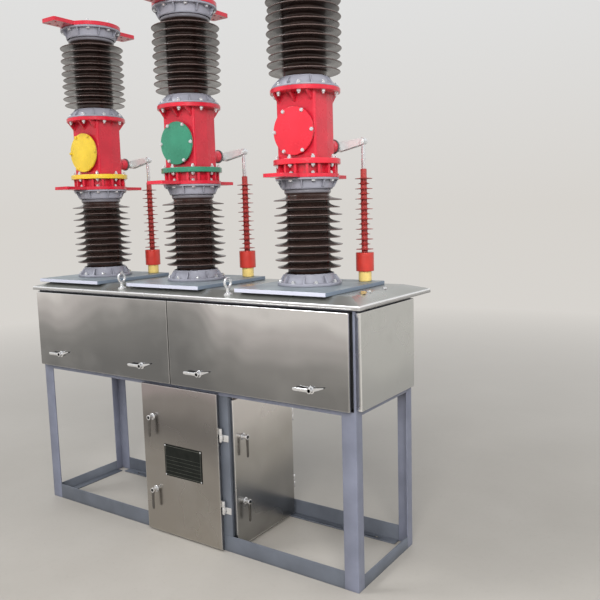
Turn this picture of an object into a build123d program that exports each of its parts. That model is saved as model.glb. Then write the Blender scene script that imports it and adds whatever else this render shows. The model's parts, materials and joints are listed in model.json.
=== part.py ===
from build123d import *
from math import cos, radians, sin
import os

# Outdoor vacuum circuit breaker: three porcelain poles on a sheet-clad box that an angle-iron
# stand carries, with a control cabinet hung under the box. Millimetres, +Z up, +X along the row
# of poles, +Y from the front to the back. The origin is the middle of the bounding box, on the floor.

# Stand of angle iron
stand_depth = 516
leg_width_x = 70
leg_width_y = 50
angle_thickness = 6
rail_flange = 50
long_rail_height = 80
side_rail_height = 58
mid_rail_bottom = 757
mid_rail_height = 50
top_rail_height = 50
top_rail_flange = 72
frame_top = 1212
floor_hole_radius = 9
floor_hole_inset_x = 178

# Box on the stand: trays of stainless sheet
sheet = 2
panel_bottom = 783
panel_top = 1189
panel_proud = 30
panel_seam = 4
panel_end_margin = 13
end_cover_proud = 26
end_cover_front_margin = 5
end_cover_rear_margin = 21
panel_latch_rise = 73
panel_latch_inner = 190
panel_latch_outer = 814
panel_latch_shift = 14

# Latch handles, alike on the panels and the doors: a rosette, a stem and a flat lever
handle_proud = 30
latch_proud = 20
handle_rosette = 4
handle_rosette_radius = 17
handle_stem_radius = 11
handle_width = 17
handle_thickness = 9
handle_length = 98

# Roof: a pan with a down-turned lip and a sloping border
roof_side_overhang = 36
roof_front_overhang = 18
roof_rear_overhang = 143
roof_lip_bottom = 1199
roof_lip_height = 17
roof_rise = 26
roof_border = 92
roof_sheet = 2.5
roof_beam_width = 40
roof_beam_left_inset = 86
roof_beam_right_inset = 28

# Base plates of the poles
plate_left_of_pole = 226
plate_right_of_pole = 255
plate_front_margin = 9
plate_rear_overhang = 15
plate_thickness = 18

# Pole positions. The row of poles sets the length of the stand.
pole_pitch = 700
left_pole_to_stand_end = 225
right_pole_to_stand_end = 395
pole_row_to_rear_face = 234

# Pole, from the base plate up
base_flange_radius = 147
base_flange_rim = 18
base_flange_height = 54
base_flange_top_radius = 112
lower_porcelain_height = 376
core_radius = 98
lower_big_shed = 156
lower_small_shed = 146
upper_big_shed = 167
upper_small_shed = 160
shed_pitch = 33.4
shed_thickness = 5
shed_slope = 15
lower_first_shed = 25
upper_first_shed = 21
sheds_per_porcelain = 10
neck_flange_height = 50
neck_rim = 16
neck_bottom_radius = 113
neck_top_radius = 143
terminal_thickness = 16
terminal_disc_radius = 145
terminal_width = 105
terminal_reach = 268
terminal_hole_radius = 7
terminal_hole_spacing = 50
terminal_hole_edge = 30
spacer_height = 42
spacer_body_radius = 118
spacer_rib_radius = 138
spacer_rib_width = 12
spacer_ribs = 16
phase_ring_height = 24
phase_ring_radius = 152
housing_height = 287
housing_width = 206
housing_depth = 166
housing_corner = 14
housing_flange_height = 19
housing_flange_radius = 157
gusset_height = 42
gusset_reach = 37
gusset_root = 1
gusset_thickness = 9
gusset_offset = 86
cover_radius = 104
cover_thickness = 10
cover_height = 120
cover_neck_radius = 96
cover_neck = 12
crank_boss_radius = 30
crank_boss_rim_radius = 34
crank_boss_rim = 9
crank_boss_length = 68
crank_boss_x = 50
crank_boss_height = 62
upper_flange_height = 49
upper_flange_rim = 16
upper_flange_radius = 151
upper_flange_top_radius = 111
upper_porcelain_height = 370
top_flange_height = 52
top_flange_rim = 12
top_flange_radius = 158
top_flange_bottom_radius = 128
top_terminal_thickness = 20
top_terminal_disc_radius = 158
top_terminal_reach = 275
top_bolts = 8
top_bolt_circle = 142
top_bolt_radius = 10
top_bolt_height = 15
flange_ribs = 8
flange_rib_width = 9

# Operating linkage: a forked lever on the housing's shaft lifts a long insulated rod
lever_length = 128
lever_tilt = 8.5
lever_plate = 7
lever_fork_gap = 20
lever_hub_radius = 21
lever_tip_radius = 14
shaft_radius = 13
shaft_depth = 40
shaft_clearance = 0.05
pin_radius = 8
pin_head = 5
eye_clearance = 1.5
eye_radius = 15
eye_side_clearance = 1
rod_behind_boss = 52
rod_fit_radius = 10
rod_fit_length = 78
rod_fit_below_pin = 47
rod_radius = 14.5
rod_big_shed = 41
rod_small_shed = 27
rod_first_shed = 43
rod_shed_slope = 5
rod_shed_pitch = 23.2
rod_shed_thickness = 3
rod_sheds = 16
cup_radius = 42
cup_wall = 5
cup_top = 12
cup_height = 87
cup_rise = 48
guide_radius = 30.5
guide_height = 75
rod_tail_radius = 10
rod_tail_below_plate = 130
rod_tail_clearance = 2

# Control cabinet under the box
cabinet_left = -230
cabinet_right = 331
cabinet_rear_margin = 15
cabinet_wall = 3
post_width = 35
hinge_post_width = 60
side_frame_border = 40
door_gap = 5
door_bottom = 8
door_top = 766
front_door_left_margin = 17
front_door_right_margin = 51
front_door_thickness = 15
side_door_bottom = 24
side_door_top = 740
side_door_front_margin = 13
side_door_rear_margin = 34
side_door_thickness = 15
door_fold = 2
hinge_radius = 8
hinge_pin_radius = 4
hinge_pin_clearance = 0.05
hinge_knuckle = 32
hinge_joint_gap = 0.3
hinge_pin_end = 4
hinge_pin_end_clearance = 1
hinge_leaf = 3
front_hinge_heights = (221, 573)
side_hinge_heights = (190, 550)
front_hinge_beyond_door = 13
side_hinge_beyond_door = 9
front_handle_inset = 70
front_handle_heights = (228, 602)
side_handle_inset = 64
side_handle_heights = (236, 552)
nameplate_width = 244
nameplate_height = 160
nameplate_thickness = 2
nameplate_x = 51
nameplate_z = 394

# Lifting eyes
eye_bolt_outer = 26
eye_bolt_inner = 16
eye_bolt_thickness = 13
eye_bolt_shank = 9
eye_bolt_collar = 20
eye_bolt_collar_height = 8
eye_bolt_centre_height = 41
eye_bolt_to_next_plate = 47
eye_bolt_from_front = 22.5

# Worked-out places. The foremost point is a handle on the front, the rearmost the roof.
door_reach = door_gap + front_door_thickness + handle_proud
front_reach = stand_depth / 2 + max(door_reach, panel_proud + latch_proud)
rear_reach = stand_depth / 2 + roof_rear_overhang
stand_y = (front_reach - rear_reach) / 2
front_face = stand_y - stand_depth / 2
rear_face = stand_y + stand_depth / 2
stand_length = left_pole_to_stand_end + 2 * pole_pitch + right_pole_to_stand_end
end_face = stand_length / 2

roof_top = roof_lip_bottom + roof_lip_height + roof_rise
roof_underside = roof_top - roof_sheet
roof_front = front_face - roof_front_overhang
roof_rear = rear_face + roof_rear_overhang
roof_end = end_face + roof_side_overhang
plate_top = roof_top + plate_thickness
plate_front = front_face + plate_front_margin
plate_rear = rear_face + plate_rear_overhang

pole_y = rear_face - pole_row_to_rear_face
pole_names = ("left", "middle", "right")
pole_xs = [left_pole_to_stand_end - end_face + pole_pitch * step for step in (0, 1, 2)]

lower_porcelain_bottom = plate_top + base_flange_height
neck_bottom = lower_porcelain_bottom + lower_porcelain_height
lower_terminal_bottom = neck_bottom + neck_flange_height
spacer_bottom = lower_terminal_bottom + terminal_thickness
phase_ring_bottom = spacer_bottom + spacer_height
housing_bottom = phase_ring_bottom + phase_ring_height
housing_flange_bottom = housing_bottom + housing_height
upper_flange_bottom = housing_flange_bottom + housing_flange_height
upper_porcelain_bottom = upper_flange_bottom + upper_flange_height
top_flange_bottom = upper_porcelain_bottom + upper_porcelain_height
top_terminal_bottom = top_flange_bottom + top_flange_height

housing_front = -housing_depth / 2
housing_rear = housing_depth / 2
cover_z = housing_bottom + cover_height
cover_seat = housing_front - cover_neck
boss_z = housing_bottom + crank_boss_height
boss_rear = housing_rear + crank_boss_length
rod_y = boss_rear + rod_behind_boss
pin_x = crank_boss_x + lever_length * cos(radians(lever_tilt))
pin_z = boss_z + lever_length * sin(radians(lever_tilt))
rod_x = crank_boss_x + lever_length * (1 + cos(radians(lever_tilt))) / 2
rod_travel = 2 * lever_length * sin(radians(lever_tilt))
rod_fit_top = pin_z - rod_fit_below_pin
rod_top = rod_fit_top - rod_fit_length
cup_bottom = plate_top + cup_rise
tail_bottom = plate_top - rod_tail_below_plate
tail_hole_radius = rod_tail_radius + rod_tail_clearance

cabinet_rear = rear_face - cabinet_rear_margin
cabinet_bottom = angle_thickness
front_door_left = cabinet_left + front_door_left_margin
front_door_right = cabinet_right - front_door_right_margin
front_door_back = front_face - door_gap
front_door_face = front_door_back - front_door_thickness
front_hinge_x = front_door_right + front_hinge_beyond_door
front_hinge_y = front_door_back - front_door_thickness / 2
side_door_back = cabinet_right + door_gap
side_door_face = side_door_back + side_door_thickness
side_hinge_x = side_door_back + side_door_thickness / 2
side_door_front = front_face + side_door_front_margin
side_door_rear = rear_face - side_door_rear_margin
side_hinge_y = side_door_rear + side_hinge_beyond_door

os.makedirs("parts", exist_ok=True)


def save(node, pieces):
    """Write one sub-part, made of one or more separate solids."""
    solids = [solid for piece in pieces for solid in piece.solids()]
    shape = solids[0] if len(solids) == 1 else Compound(children=solids)
    export_step(shape, f"parts/{node}.step")


def block(x_low, x_high, y_low, y_high, z_low, z_high):
    """Box between two corners."""
    size = (x_high - x_low, y_high - y_low, z_high - z_low)
    middle = ((x_low + x_high) / 2, (y_low + y_high) / 2, (z_low + z_high) / 2)
    return Pos(*middle) * Box(*size)


def post(x, y, z_low, z_high, radius):
    """Upright cylinder."""
    return Pos(x, y, (z_low + z_high) / 2) * Cylinder(radius, z_high - z_low)


def bar_y(x, z, y_low, y_high, radius):
    """Cylinder along Y."""
    return Pos(x, (y_low + y_high) / 2, z) * Rot(90, 0, 0) * Cylinder(radius, y_high - y_low)


def turned(points):
    """Solid of revolution about Z from (radius, height) points that end on the axis."""
    return revolve(make_face(Polyline(*[(r, 0, z) for r, z in points], close=True)), Axis.Z)


def at_poles(shape):
    """One copy of a pole piece, drawn about the Z axis, on each pole."""
    return {name: Pos(x, pole_y, 0) * shape for name, x in zip(pole_names, pole_xs)}


# Stand

def leg(side, facing):
    """Corner leg of unequal angle. side is -1 or 1 along X, facing -1 or 1 along Y."""
    across = [side * end_face, side * (end_face - leg_width_x)]
    deep = [stand_y + facing * stand_depth / 2, stand_y + facing * (stand_depth / 2 - leg_width_y)]
    thin_x = side * (end_face - angle_thickness)
    thin_y = stand_y + facing * (stand_depth / 2 - angle_thickness)
    broad = block(*sorted(across), *sorted((deep[0], thin_y)), 0, frame_top)
    narrow = block(*sorted((across[0], thin_x)), *sorted(deep), 0, frame_top)
    return broad + narrow


def long_rail(facing, bottom, height, flange, flange_at_top=False):
    """Angle along X between two legs, with its level flange turned inward."""
    half = end_face - leg_width_x
    outer = stand_y + facing * stand_depth / 2
    inner = outer - facing * angle_thickness
    reach = outer - facing * flange
    shelf = bottom + height - angle_thickness if flange_at_top else bottom
    upright = block(-half, half, *sorted((outer, inner)), bottom, bottom + height)
    level = block(-half, half, *sorted((outer, reach)), shelf, shelf + angle_thickness)
    return upright + level


def side_rail(side, bottom, height):
    """Angle along Y between two legs, with its level flange turned inward."""
    half = stand_depth / 2 - leg_width_y
    outer = side * end_face
    inner = outer - side * angle_thickness
    reach = outer - side * rail_flange
    upright = block(*sorted((outer, inner)), stand_y - half, stand_y + half, bottom, bottom + height)
    level = block(*sorted((outer, reach)), stand_y - half, stand_y + half, bottom, bottom + angle_thickness)
    return upright + level


def floor_hole(side, facing):
    """Anchor hole through the level flange of a bottom rail."""
    x = side * (end_face - floor_hole_inset_x)
    y = stand_y + facing * (stand_depth / 2 - (rail_flange + angle_thickness) / 2)
    return post(x, y, -1, angle_thickness + 1, floor_hole_radius)


def make_stand():
    corners = [(side, facing) for side in (-1, 1) for facing in (-1, 1)]
    save("legs", [leg(side, facing) for side, facing in corners])
    bottom = []
    for facing in (-1, 1):
        rail = long_rail(facing, 0, long_rail_height, rail_flange)
        bottom.append(rail - floor_hole(-1, facing) - floor_hole(1, facing))
    bottom += [side_rail(side, 0, side_rail_height) for side in (-1, 1)]
    save("bottom_rails", bottom)
    middle = [long_rail(facing, mid_rail_bottom, mid_rail_height, rail_flange) for facing in (-1, 1)]
    middle += [side_rail(side, mid_rail_bottom, mid_rail_height) for side in (-1, 1)]
    save("mid_rails", middle)
    top = frame_top - top_rail_height
    front, rear = [long_rail(facing, top, top_rail_height, top_rail_flange, True) for facing in (-1, 1)]
    for x in pole_xs:
        rear -= post(x + rod_x, pole_y + rod_y, top, frame_top + 1, tail_hole_radius)
    save("top_rails", [front, rear] + [side_rail(side, top, top_rail_height) for side in (-1, 1)])
    beams = []
    for x in pole_xs:
        left_beam = x - plate_left_of_pole + roof_beam_left_inset
        right_beam = x + plate_right_of_pole - roof_beam_right_inset
        for edge in (left_beam, right_beam):
            beams.append(block(edge - roof_beam_width / 2, edge + roof_beam_width / 2,
                               roof_front + roof_border, rear_face - angle_thickness,
                               frame_top, roof_underside))
    save("roof_beams", beams)


# Box

def tray_y(x_low, x_high, facing, z_low, z_high):
    """Sheet tray on the front or back of the box, open towards the frame."""
    seat = front_face if facing < 0 else rear_face
    face = seat + facing * panel_proud
    body = block(x_low, x_high, *sorted((seat, face)), z_low, z_high)
    hollow = block(x_low + sheet, x_high - sheet, *sorted((seat, face - facing * sheet)),
                   z_low + sheet, z_high - sheet)
    return body - hollow


def end_cover(side):
    """Deeper sheet tray on an end of the box."""
    seat = side * end_face
    face = side * (end_face + end_cover_proud)
    y_low = front_face + end_cover_front_margin
    y_high = rear_face - end_cover_rear_margin
    body = block(*sorted((seat, face)), y_low, y_high, panel_bottom, panel_top)
    hollow = block(*sorted((seat, face - side * sheet)), y_low + sheet, y_high - sheet,
                   panel_bottom + sheet, panel_top - sheet)
    return body - hollow


def handle(proud):
    """Latch handle on a wall that faces -Y, with its lever hanging down."""
    half = handle_width / 2
    grip = block(-half, half, -proud, handle_thickness - proud, -handle_length, half)
    grip = fillet(grip.edges().filter_by(Axis.Y), handle_width / 3)
    rosette = bar_y(0, 0, -handle_rosette, 0, handle_rosette_radius)
    stem = bar_y(0, 0, -proud, 0, handle_stem_radius)
    return rosette + stem + grip


def pan_shape(inset, top_drop, bottom):
    """Closed outline of the roof pan, drawn in by inset."""
    lip_top = roof_lip_bottom + roof_lip_height - top_drop
    flat_top = roof_top - top_drop
    length = 2 * (roof_end - inset)
    depth = roof_rear - roof_front - 2 * inset
    middle_y = (roof_front + roof_rear) / 2
    lip = Pos(0, middle_y, (bottom + lip_top) / 2) * Box(length, depth, lip_top - bottom)
    low = Pos(0, middle_y, lip_top) * Rectangle(length, depth)
    shrink = 2 * (roof_border - inset)
    high = Pos(0, middle_y, flat_top) * Rectangle(length - shrink, depth - shrink)
    return lip + loft([low, high])


def make_roof():
    pan = pan_shape(0, 0, roof_lip_bottom) - pan_shape(roof_sheet, roof_sheet, roof_lip_bottom - 1)
    for x in pole_xs:
        pan -= post(x + rod_x, pole_y + rod_y, roof_underside - 1, roof_top + 1, tail_hole_radius)
    save("roof", [pan])


def make_box():
    edge = end_face - panel_end_margin
    seam = panel_seam / 2
    save("front_panel_left", [tray_y(-edge, -seam, -1, panel_bottom, panel_top)])
    save("front_panel_right", [tray_y(seam, edge, -1, panel_bottom, panel_top)])
    save("rear_panels", [tray_y(-edge, -seam, 1, panel_bottom, panel_top),
                         tray_y(seam, edge, 1, panel_bottom, panel_top)])
    save("end_covers", [end_cover(side) for side in (-1, 1)])
    reaches = [side * reach for side in (-1, 1) for reach in (panel_latch_inner, panel_latch_outer)]
    places = [reach + panel_latch_shift for reach in reaches]
    latch_z = panel_bottom + panel_latch_rise
    lying = Rot(0, 90, 0) * handle(latch_proud)
    latches = [Pos(x, front_face - panel_proud, latch_z) * lying for x in places]
    latches += [Pos(x, rear_face + panel_proud, latch_z) * Rot(0, 0, 180) * lying for x in places]
    save("panel_latches", latches)
    floor_top = mid_rail_bottom + angle_thickness + sheet
    half_x = end_face - angle_thickness
    half_y = stand_depth / 2 - angle_thickness
    floor = block(-half_x, half_x, stand_y - half_y, stand_y + half_y, floor_top - sheet, floor_top)
    for side in (-1, 1):
        for facing in (-1, 1):
            corner_x = side * (end_face - leg_width_x / 2)
            corner_y = stand_y + facing * (stand_depth / 2 - leg_width_y / 2)
            floor -= Pos(corner_x, corner_y, floor_top) * Box(leg_width_x, leg_width_y, 4 * sheet)
    save("box_floor", [floor])


def base_plate(x):
    """Thick plate that carries one pole and its rod guide."""
    plate = block(x - plate_left_of_pole, x + plate_right_of_pole, plate_front, plate_rear,
                  roof_top, plate_top)
    return plate - post(x + rod_x, pole_y + rod_y, roof_top - 1, plate_top + 1, tail_hole_radius)


def eye_bolt(x, y):
    """Forged lifting eye that faces the ends of the box, its foot on the sloping border of the roof."""
    middle = roof_top + eye_bolt_centre_height
    lip_top = roof_lip_bottom + roof_lip_height
    slope = roof_rise / roof_border
    seat = lip_top + (y - roof_front) * slope
    foot = seat - eye_bolt_collar * slope
    ring = Pos(x, y, middle) * Rot(0, 90, 0) * Cylinder(eye_bolt_outer, eye_bolt_thickness)
    ring = fillet(ring.edges(), eye_bolt_thickness / 3)
    hole = Pos(x, y, middle) * Rot(0, 90, 0) * Cylinder(eye_bolt_inner, eye_bolt_thickness + 2)
    shank = post(x, y, foot, middle - (eye_bolt_outer + eye_bolt_inner) / 2, eye_bolt_shank)
    collar = post(x, y, foot, seat + eye_bolt_collar_height, eye_bolt_collar)
    return ring - hole + shank + collar - pan_shape(0, 0, roof_lip_bottom)


def make_roof_fittings():
    save("base_plates", [base_plate(x) for x in pole_xs])
    xs = [x - plate_left_of_pole - eye_bolt_to_next_plate for x in pole_xs[1:]]
    save("eye_bolts", [eye_bolt(x, front_face + eye_bolt_from_front) for x in xs])


# Poles

def porcelain(bottom, height, big, small, first):
    """Glazed porcelain with long and short sheds in turn, a short one lowest."""
    points = [(0, bottom), (core_radius, bottom)]
    for step in range(sheds_per_porcelain):
        rim = bottom + first + step * shed_pitch
        radius = big if step % 2 else small
        points += [(core_radius, rim), (radius - 1, rim), (radius, rim + 1),
                   (radius, rim + shed_thickness - 1), (radius - 1, rim + shed_thickness),
                   (core_radius, rim + shed_thickness + shed_slope)]
    points += [(core_radius, bottom + height), (0, bottom + height)]
    return turned(points)


def flange(bottom, height, rim, low_radius, high_radius, rim_at_top, rib_turn):
    """Cast flange cemented on a porcelain: a rim, a tapering neck and upright ribs."""
    wide = high_radius if rim_at_top else low_radius
    narrow = low_radius if rim_at_top else high_radius
    top = bottom + height
    throat = narrow + (wide - narrow) / 4
    if rim_at_top:
        outline = [(0, bottom), (narrow, bottom), (throat, top - rim), (wide, top - rim),
                   (wide, top), (0, top)]
        foot, tip, lean = top - rim, bottom, -1
    else:
        outline = [(0, bottom), (wide, bottom), (wide, bottom + rim), (throat, bottom + rim),
                   (narrow, top), (0, top)]
        foot, tip, lean = bottom + rim, top, 1
    body = turned(outline)
    side = make_face(Polyline((narrow / 2, 0, foot), (wide - 3, 0, foot), (wide - 3, 0, foot + lean * 3),
                              (narrow + 1, 0, tip - lean * 2), (narrow / 2, 0, tip - lean * 2), close=True))
    rib = extrude(side, flange_rib_width / 2, dir=(0, 1, 0), both=True)
    for step in range(flange_ribs):
        body += Rot(0, 0, 360 * (step + rib_turn) / flange_ribs) * rib
    return body


def terminal(bottom, thickness, disc_radius, reach):
    """Connection plate: a disc with a drilled tab to the front and one to the back."""
    plate = post(0, 0, bottom, bottom + thickness, disc_radius)
    plate += block(-terminal_width / 2, terminal_width / 2, -reach, reach, bottom, bottom + thickness)
    for facing in (-1, 1):
        for step in (0, 1):
            y = facing * (reach - terminal_hole_edge - step * terminal_hole_spacing)
            for x in (-terminal_hole_spacing / 2, terminal_hole_spacing / 2):
                plate -= post(x, y, bottom - 1, bottom + thickness + 1, terminal_hole_radius)
    return plate


def spacer():
    """Ribbed ring between the lower terminal and the phase ring."""
    top = phase_ring_bottom
    body = post(0, 0, spacer_bottom, top, spacer_body_radius)
    rib = block(spacer_body_radius / 2, spacer_rib_radius, -spacer_rib_width / 2, spacer_rib_width / 2,
                spacer_bottom, top)
    for step in range(spacer_ribs):
        body += Rot(0, 0, 360 * (step + 0.5) / spacer_ribs) * rib
    return body


def housing():
    """Mechanism casting: a square body, a round flange, gussets, the cover's neck and the crank boss."""
    top = housing_flange_bottom
    body = block(-housing_width / 2, housing_width / 2, housing_front, housing_rear, housing_bottom, top)
    body = fillet(body.edges().filter_by(Axis.Z), housing_corner)
    root = housing_front + gusset_root
    gusset_side = make_face(Polyline((0, root, top), (0, housing_front - gusset_reach, top),
                                     (0, root, top - gusset_height), close=True))
    gusset = extrude(gusset_side, gusset_thickness / 2, dir=(1, 0, 0), both=True)
    for turn in (0, 180):
        for x in (-gusset_offset, 0, gusset_offset):
            body += Rot(0, 0, turn) * Pos(x, 0, 0) * gusset
    body += post(0, 0, top, top + housing_flange_height, housing_flange_radius)
    body += bar_y(0, cover_z, cover_seat, 0, cover_neck_radius)
    body += bar_y(crank_boss_x, boss_z, 0, boss_rear, crank_boss_radius)
    body += bar_y(crank_boss_x, boss_z, boss_rear - crank_boss_rim, boss_rear, crank_boss_rim_radius)
    bore = bar_y(crank_boss_x, boss_z, boss_rear - shaft_depth, boss_rear + 1, shaft_radius + shaft_clearance)
    return body - bore


def cover():
    """Round inspection cover, painted in the phase colour."""
    return bar_y(0, cover_z, cover_seat - cover_thickness, cover_seat, cover_radius)


def top_bolt_row():
    """Bolt heads that stand on the upper terminal."""
    base = top_terminal_bottom + top_terminal_thickness
    head = post(top_bolt_circle, 0, base, base + top_bolt_height, top_bolt_radius)
    return [Rot(0, 0, 360 * step / top_bolts) * head for step in range(top_bolts)]


def make_poles():
    lower = porcelain(lower_porcelain_bottom, lower_porcelain_height, lower_big_shed, lower_small_shed,
                      lower_first_shed)
    upper = porcelain(upper_porcelain_bottom, upper_porcelain_height, upper_big_shed, upper_small_shed,
                      upper_first_shed)
    flanges = [
        flange(plate_top, base_flange_height, base_flange_rim, base_flange_radius,
               base_flange_top_radius, False, 0.5),
        flange(neck_bottom, neck_flange_height, neck_rim, neck_bottom_radius, neck_top_radius, True, 0.5),
        flange(upper_flange_bottom, upper_flange_height, upper_flange_rim, upper_flange_radius,
               upper_flange_top_radius, False, 0),
        flange(top_flange_bottom, top_flange_height, top_flange_rim, top_flange_bottom_radius,
               top_flange_radius, True, 0.5)]
    lower_end = terminal(lower_terminal_bottom, terminal_thickness, terminal_disc_radius, terminal_reach)
    lower_end += spacer()
    upper_end = terminal(top_terminal_bottom, top_terminal_thickness, top_terminal_disc_radius,
                         top_terminal_reach)
    ring = post(0, 0, phase_ring_bottom, housing_bottom, phase_ring_radius)
    single = {"lower_insulator": lower, "upper_insulator": upper, "phase_ring": ring,
              "housing": housing(), "phase_cover": cover()}
    for label, shape in single.items():
        for name, piece in at_poles(shape).items():
            save(f"{label}_{name}", [piece])
    for name, x in zip(pole_names, pole_xs):
        place = Pos(x, pole_y, 0)
        save(f"flanges_{name}", [place * piece for piece in flanges])
        save(f"terminals_{name}", [place * lower_end, place * upper_end])
    save("top_bolts", [Pos(x, pole_y, 0) * head for x in pole_xs for head in top_bolt_row()])


# Linkage

def lever():
    """Fork of two tapering plates on a hub, with the shaft and the pin, drawn level."""
    hub = Plane((crank_boss_x, rod_y, boss_z), z_dir=(0, 1, 0), x_dir=(1, 0, 0))
    outline = make_hull((Pos(0, 0) * Circle(lever_hub_radius)).edges()
                        + (Pos(lever_length, 0) * Circle(lever_tip_radius)).edges())
    plates = None
    for side in (-1, 1):
        near = lever_fork_gap / 2
        slab = extrude(hub.offset(side * (near + lever_plate / 2)) * outline, lever_plate / 2, both=True)
        plates = slab if plates is None else plates + slab
    outside = lever_fork_gap / 2 + lever_plate
    plates += bar_y(crank_boss_x, boss_z, rod_y - outside, rod_y + outside, lever_hub_radius)
    plates += bar_y(crank_boss_x, boss_z, boss_rear - shaft_depth + 1, rod_y, shaft_radius)
    plates += bar_y(crank_boss_x + lever_length, boss_z, rod_y - outside - pin_head,
                    rod_y + outside + pin_head, pin_radius)
    return plates


def tilted(shape):
    """Turn a level lever about its shaft to the stored position."""
    hinge = Axis((crank_boss_x, 0, boss_z), (0, 1, 0))
    return shape.rotate(hinge, -lever_tilt)


def pull_rod():
    """Insulated rod: an eye, a metal end, a shedded red rod, a rain cup and a steel tail."""
    eye_half = lever_fork_gap / 2 - eye_side_clearance
    eye = bar_y(0, pin_z, -eye_half, eye_half, eye_radius + eye_clearance)
    hole = bar_y(0, pin_z, -eye_half - 1, eye_half + 1, pin_radius + eye_clearance)
    neck = post(0, 0, rod_fit_top - 1, pin_z - pin_radius - eye_clearance - 1, eye_half - 1)
    metal = post(0, 0, rod_top - 1, rod_fit_top, rod_fit_radius)
    outline = [(0, cup_bottom + cup_height - cup_top), (rod_radius, cup_bottom + cup_height - cup_top)]
    for step in range(rod_sheds - 1, -1, -1):
        rim = rod_top - rod_first_shed - step * rod_shed_pitch
        radius = rod_small_shed if step % 2 else rod_big_shed
        outline += [(rod_radius, rim - 2), (radius, rim - rod_shed_thickness),
                    (radius, rim), (rod_radius, rim + rod_shed_slope)]
    outline += [(rod_radius, rod_top), (0, rod_top)]
    cup = post(0, 0, cup_bottom, cup_bottom + cup_height, cup_radius)
    cup -= post(0, 0, cup_bottom - 1, cup_bottom + cup_height - cup_top, cup_radius - cup_wall)
    tail = post(0, 0, tail_bottom, cup_bottom + cup_height - cup_top + 1, rod_tail_radius)
    return eye + neck - hole + metal + turned(outline) + cup + tail


def rod_guide():
    """Yellow guide on the base plate, with the rod's bore."""
    body = post(0, 0, plate_top, plate_top + guide_height, guide_radius)
    return body - post(0, 0, plate_top - 1, plate_top + guide_height + 1, tail_hole_radius)


def make_linkage():
    arm = tilted(lever())
    rod = pull_rod()
    for name, x in zip(pole_names, pole_xs):
        save(f"lever_{name}", [Pos(x, pole_y, 0) * arm])
        save(f"pull_rod_{name}", [Pos(x + rod_x, pole_y + rod_y, 0) * rod])
    save("rod_guides", [Pos(x + rod_x, pole_y + rod_y, 0) * rod_guide() for x in pole_xs])


# Cabinet

def make_cabinet():
    lower = long_rail_height
    upper = mid_rail_bottom
    inner_front = front_face + angle_thickness
    low = cabinet_bottom
    roof_low = upper - cabinet_wall
    floor_high = low + cabinet_wall
    behind_post = front_face + post_width
    widths = ((cabinet_left, cabinet_left + post_width), (cabinet_right - hinge_post_width, cabinet_right))
    save("cabinet_posts", [block(*width, front_face, behind_post, lower, upper) for width in widths])
    save("cabinet_floor", [block(cabinet_left, cabinet_right, inner_front, cabinet_rear, low, floor_high)])
    save("cabinet_top", [block(cabinet_left, cabinet_right, behind_post, cabinet_rear, roof_low, upper)])
    save("cabinet_left_wall", [block(cabinet_left, cabinet_left + cabinet_wall, behind_post, cabinet_rear,
                                     floor_high, roof_low)])
    save("cabinet_rear_wall", [block(cabinet_left + cabinet_wall, cabinet_right - cabinet_wall,
                                     cabinet_rear - cabinet_wall, cabinet_rear, floor_high, roof_low)])
    right = block(cabinet_right - cabinet_wall, cabinet_right, behind_post, cabinet_rear,
                  floor_high, roof_low)
    opening = block(cabinet_right - 2 * cabinet_wall, cabinet_right + 1,
                    side_door_front + side_frame_border, side_door_rear - side_frame_border,
                    side_door_bottom + side_frame_border, side_door_top - side_frame_border)
    save("cabinet_right_wall", [right - opening])


def lift_off_hinge(x, y, z, fixed_leaf, door_leaf):
    """Fixed lower knuckle with its pin, and the door's upper knuckle, each with its leaf."""
    low = z - hinge_joint_gap / 2
    high = z + hinge_joint_gap / 2
    top = high + hinge_knuckle
    lower = post(x, y, low - hinge_knuckle, low, hinge_radius)
    lower += post(x, y, low - hinge_knuckle, top - hinge_pin_end, hinge_pin_radius)
    for leaf in fixed_leaf:
        lower += block(*leaf, low - hinge_knuckle, low)
    upper = post(x, y, high, top, hinge_radius) + block(*door_leaf, high, top)
    socket = hinge_pin_radius + hinge_pin_clearance
    upper -= post(x, y, high - 1, top - hinge_pin_end + hinge_pin_end_clearance, socket)
    return lower, upper


def make_front_door():
    body = block(front_door_left, front_door_right, front_door_face, front_door_back, door_bottom, door_top)
    body = fillet(body.edges().filter_by(Axis.Z).group_by(Axis.Y)[0], 3)
    hollow = block(front_door_left + door_fold, front_door_right - door_fold, front_door_face + door_fold,
                   front_door_back + 1, door_bottom + door_fold, door_top - door_fold)
    door = body - hollow
    half_leaf = hinge_leaf / 2
    arm = (front_hinge_x - half_leaf, front_hinge_x + half_leaf, front_hinge_y, front_face)
    pad = (front_hinge_x - half_leaf, cabinet_right - half_leaf, front_face - hinge_leaf, front_face)
    strap = (front_door_right - 1, front_hinge_x, front_hinge_y - half_leaf, front_hinge_y + half_leaf)
    fixed = []
    for z in front_hinge_heights:
        lower, upper = lift_off_hinge(front_hinge_x, front_hinge_y, z, (arm, pad), strap)
        fixed.append(lower)
        door += upper
    handle_x = front_door_left + front_handle_inset
    handles = [Pos(handle_x, front_door_face, z) * handle(handle_proud) for z in front_handle_heights]
    plate = block(nameplate_x - nameplate_width / 2, nameplate_x + nameplate_width / 2,
                  front_door_face - nameplate_thickness, front_door_face,
                  nameplate_z - nameplate_height / 2, nameplate_z + nameplate_height / 2)
    save("front_door", [door])
    save("front_door_handles", handles)
    save("nameplate", [plate])
    return fixed


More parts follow.
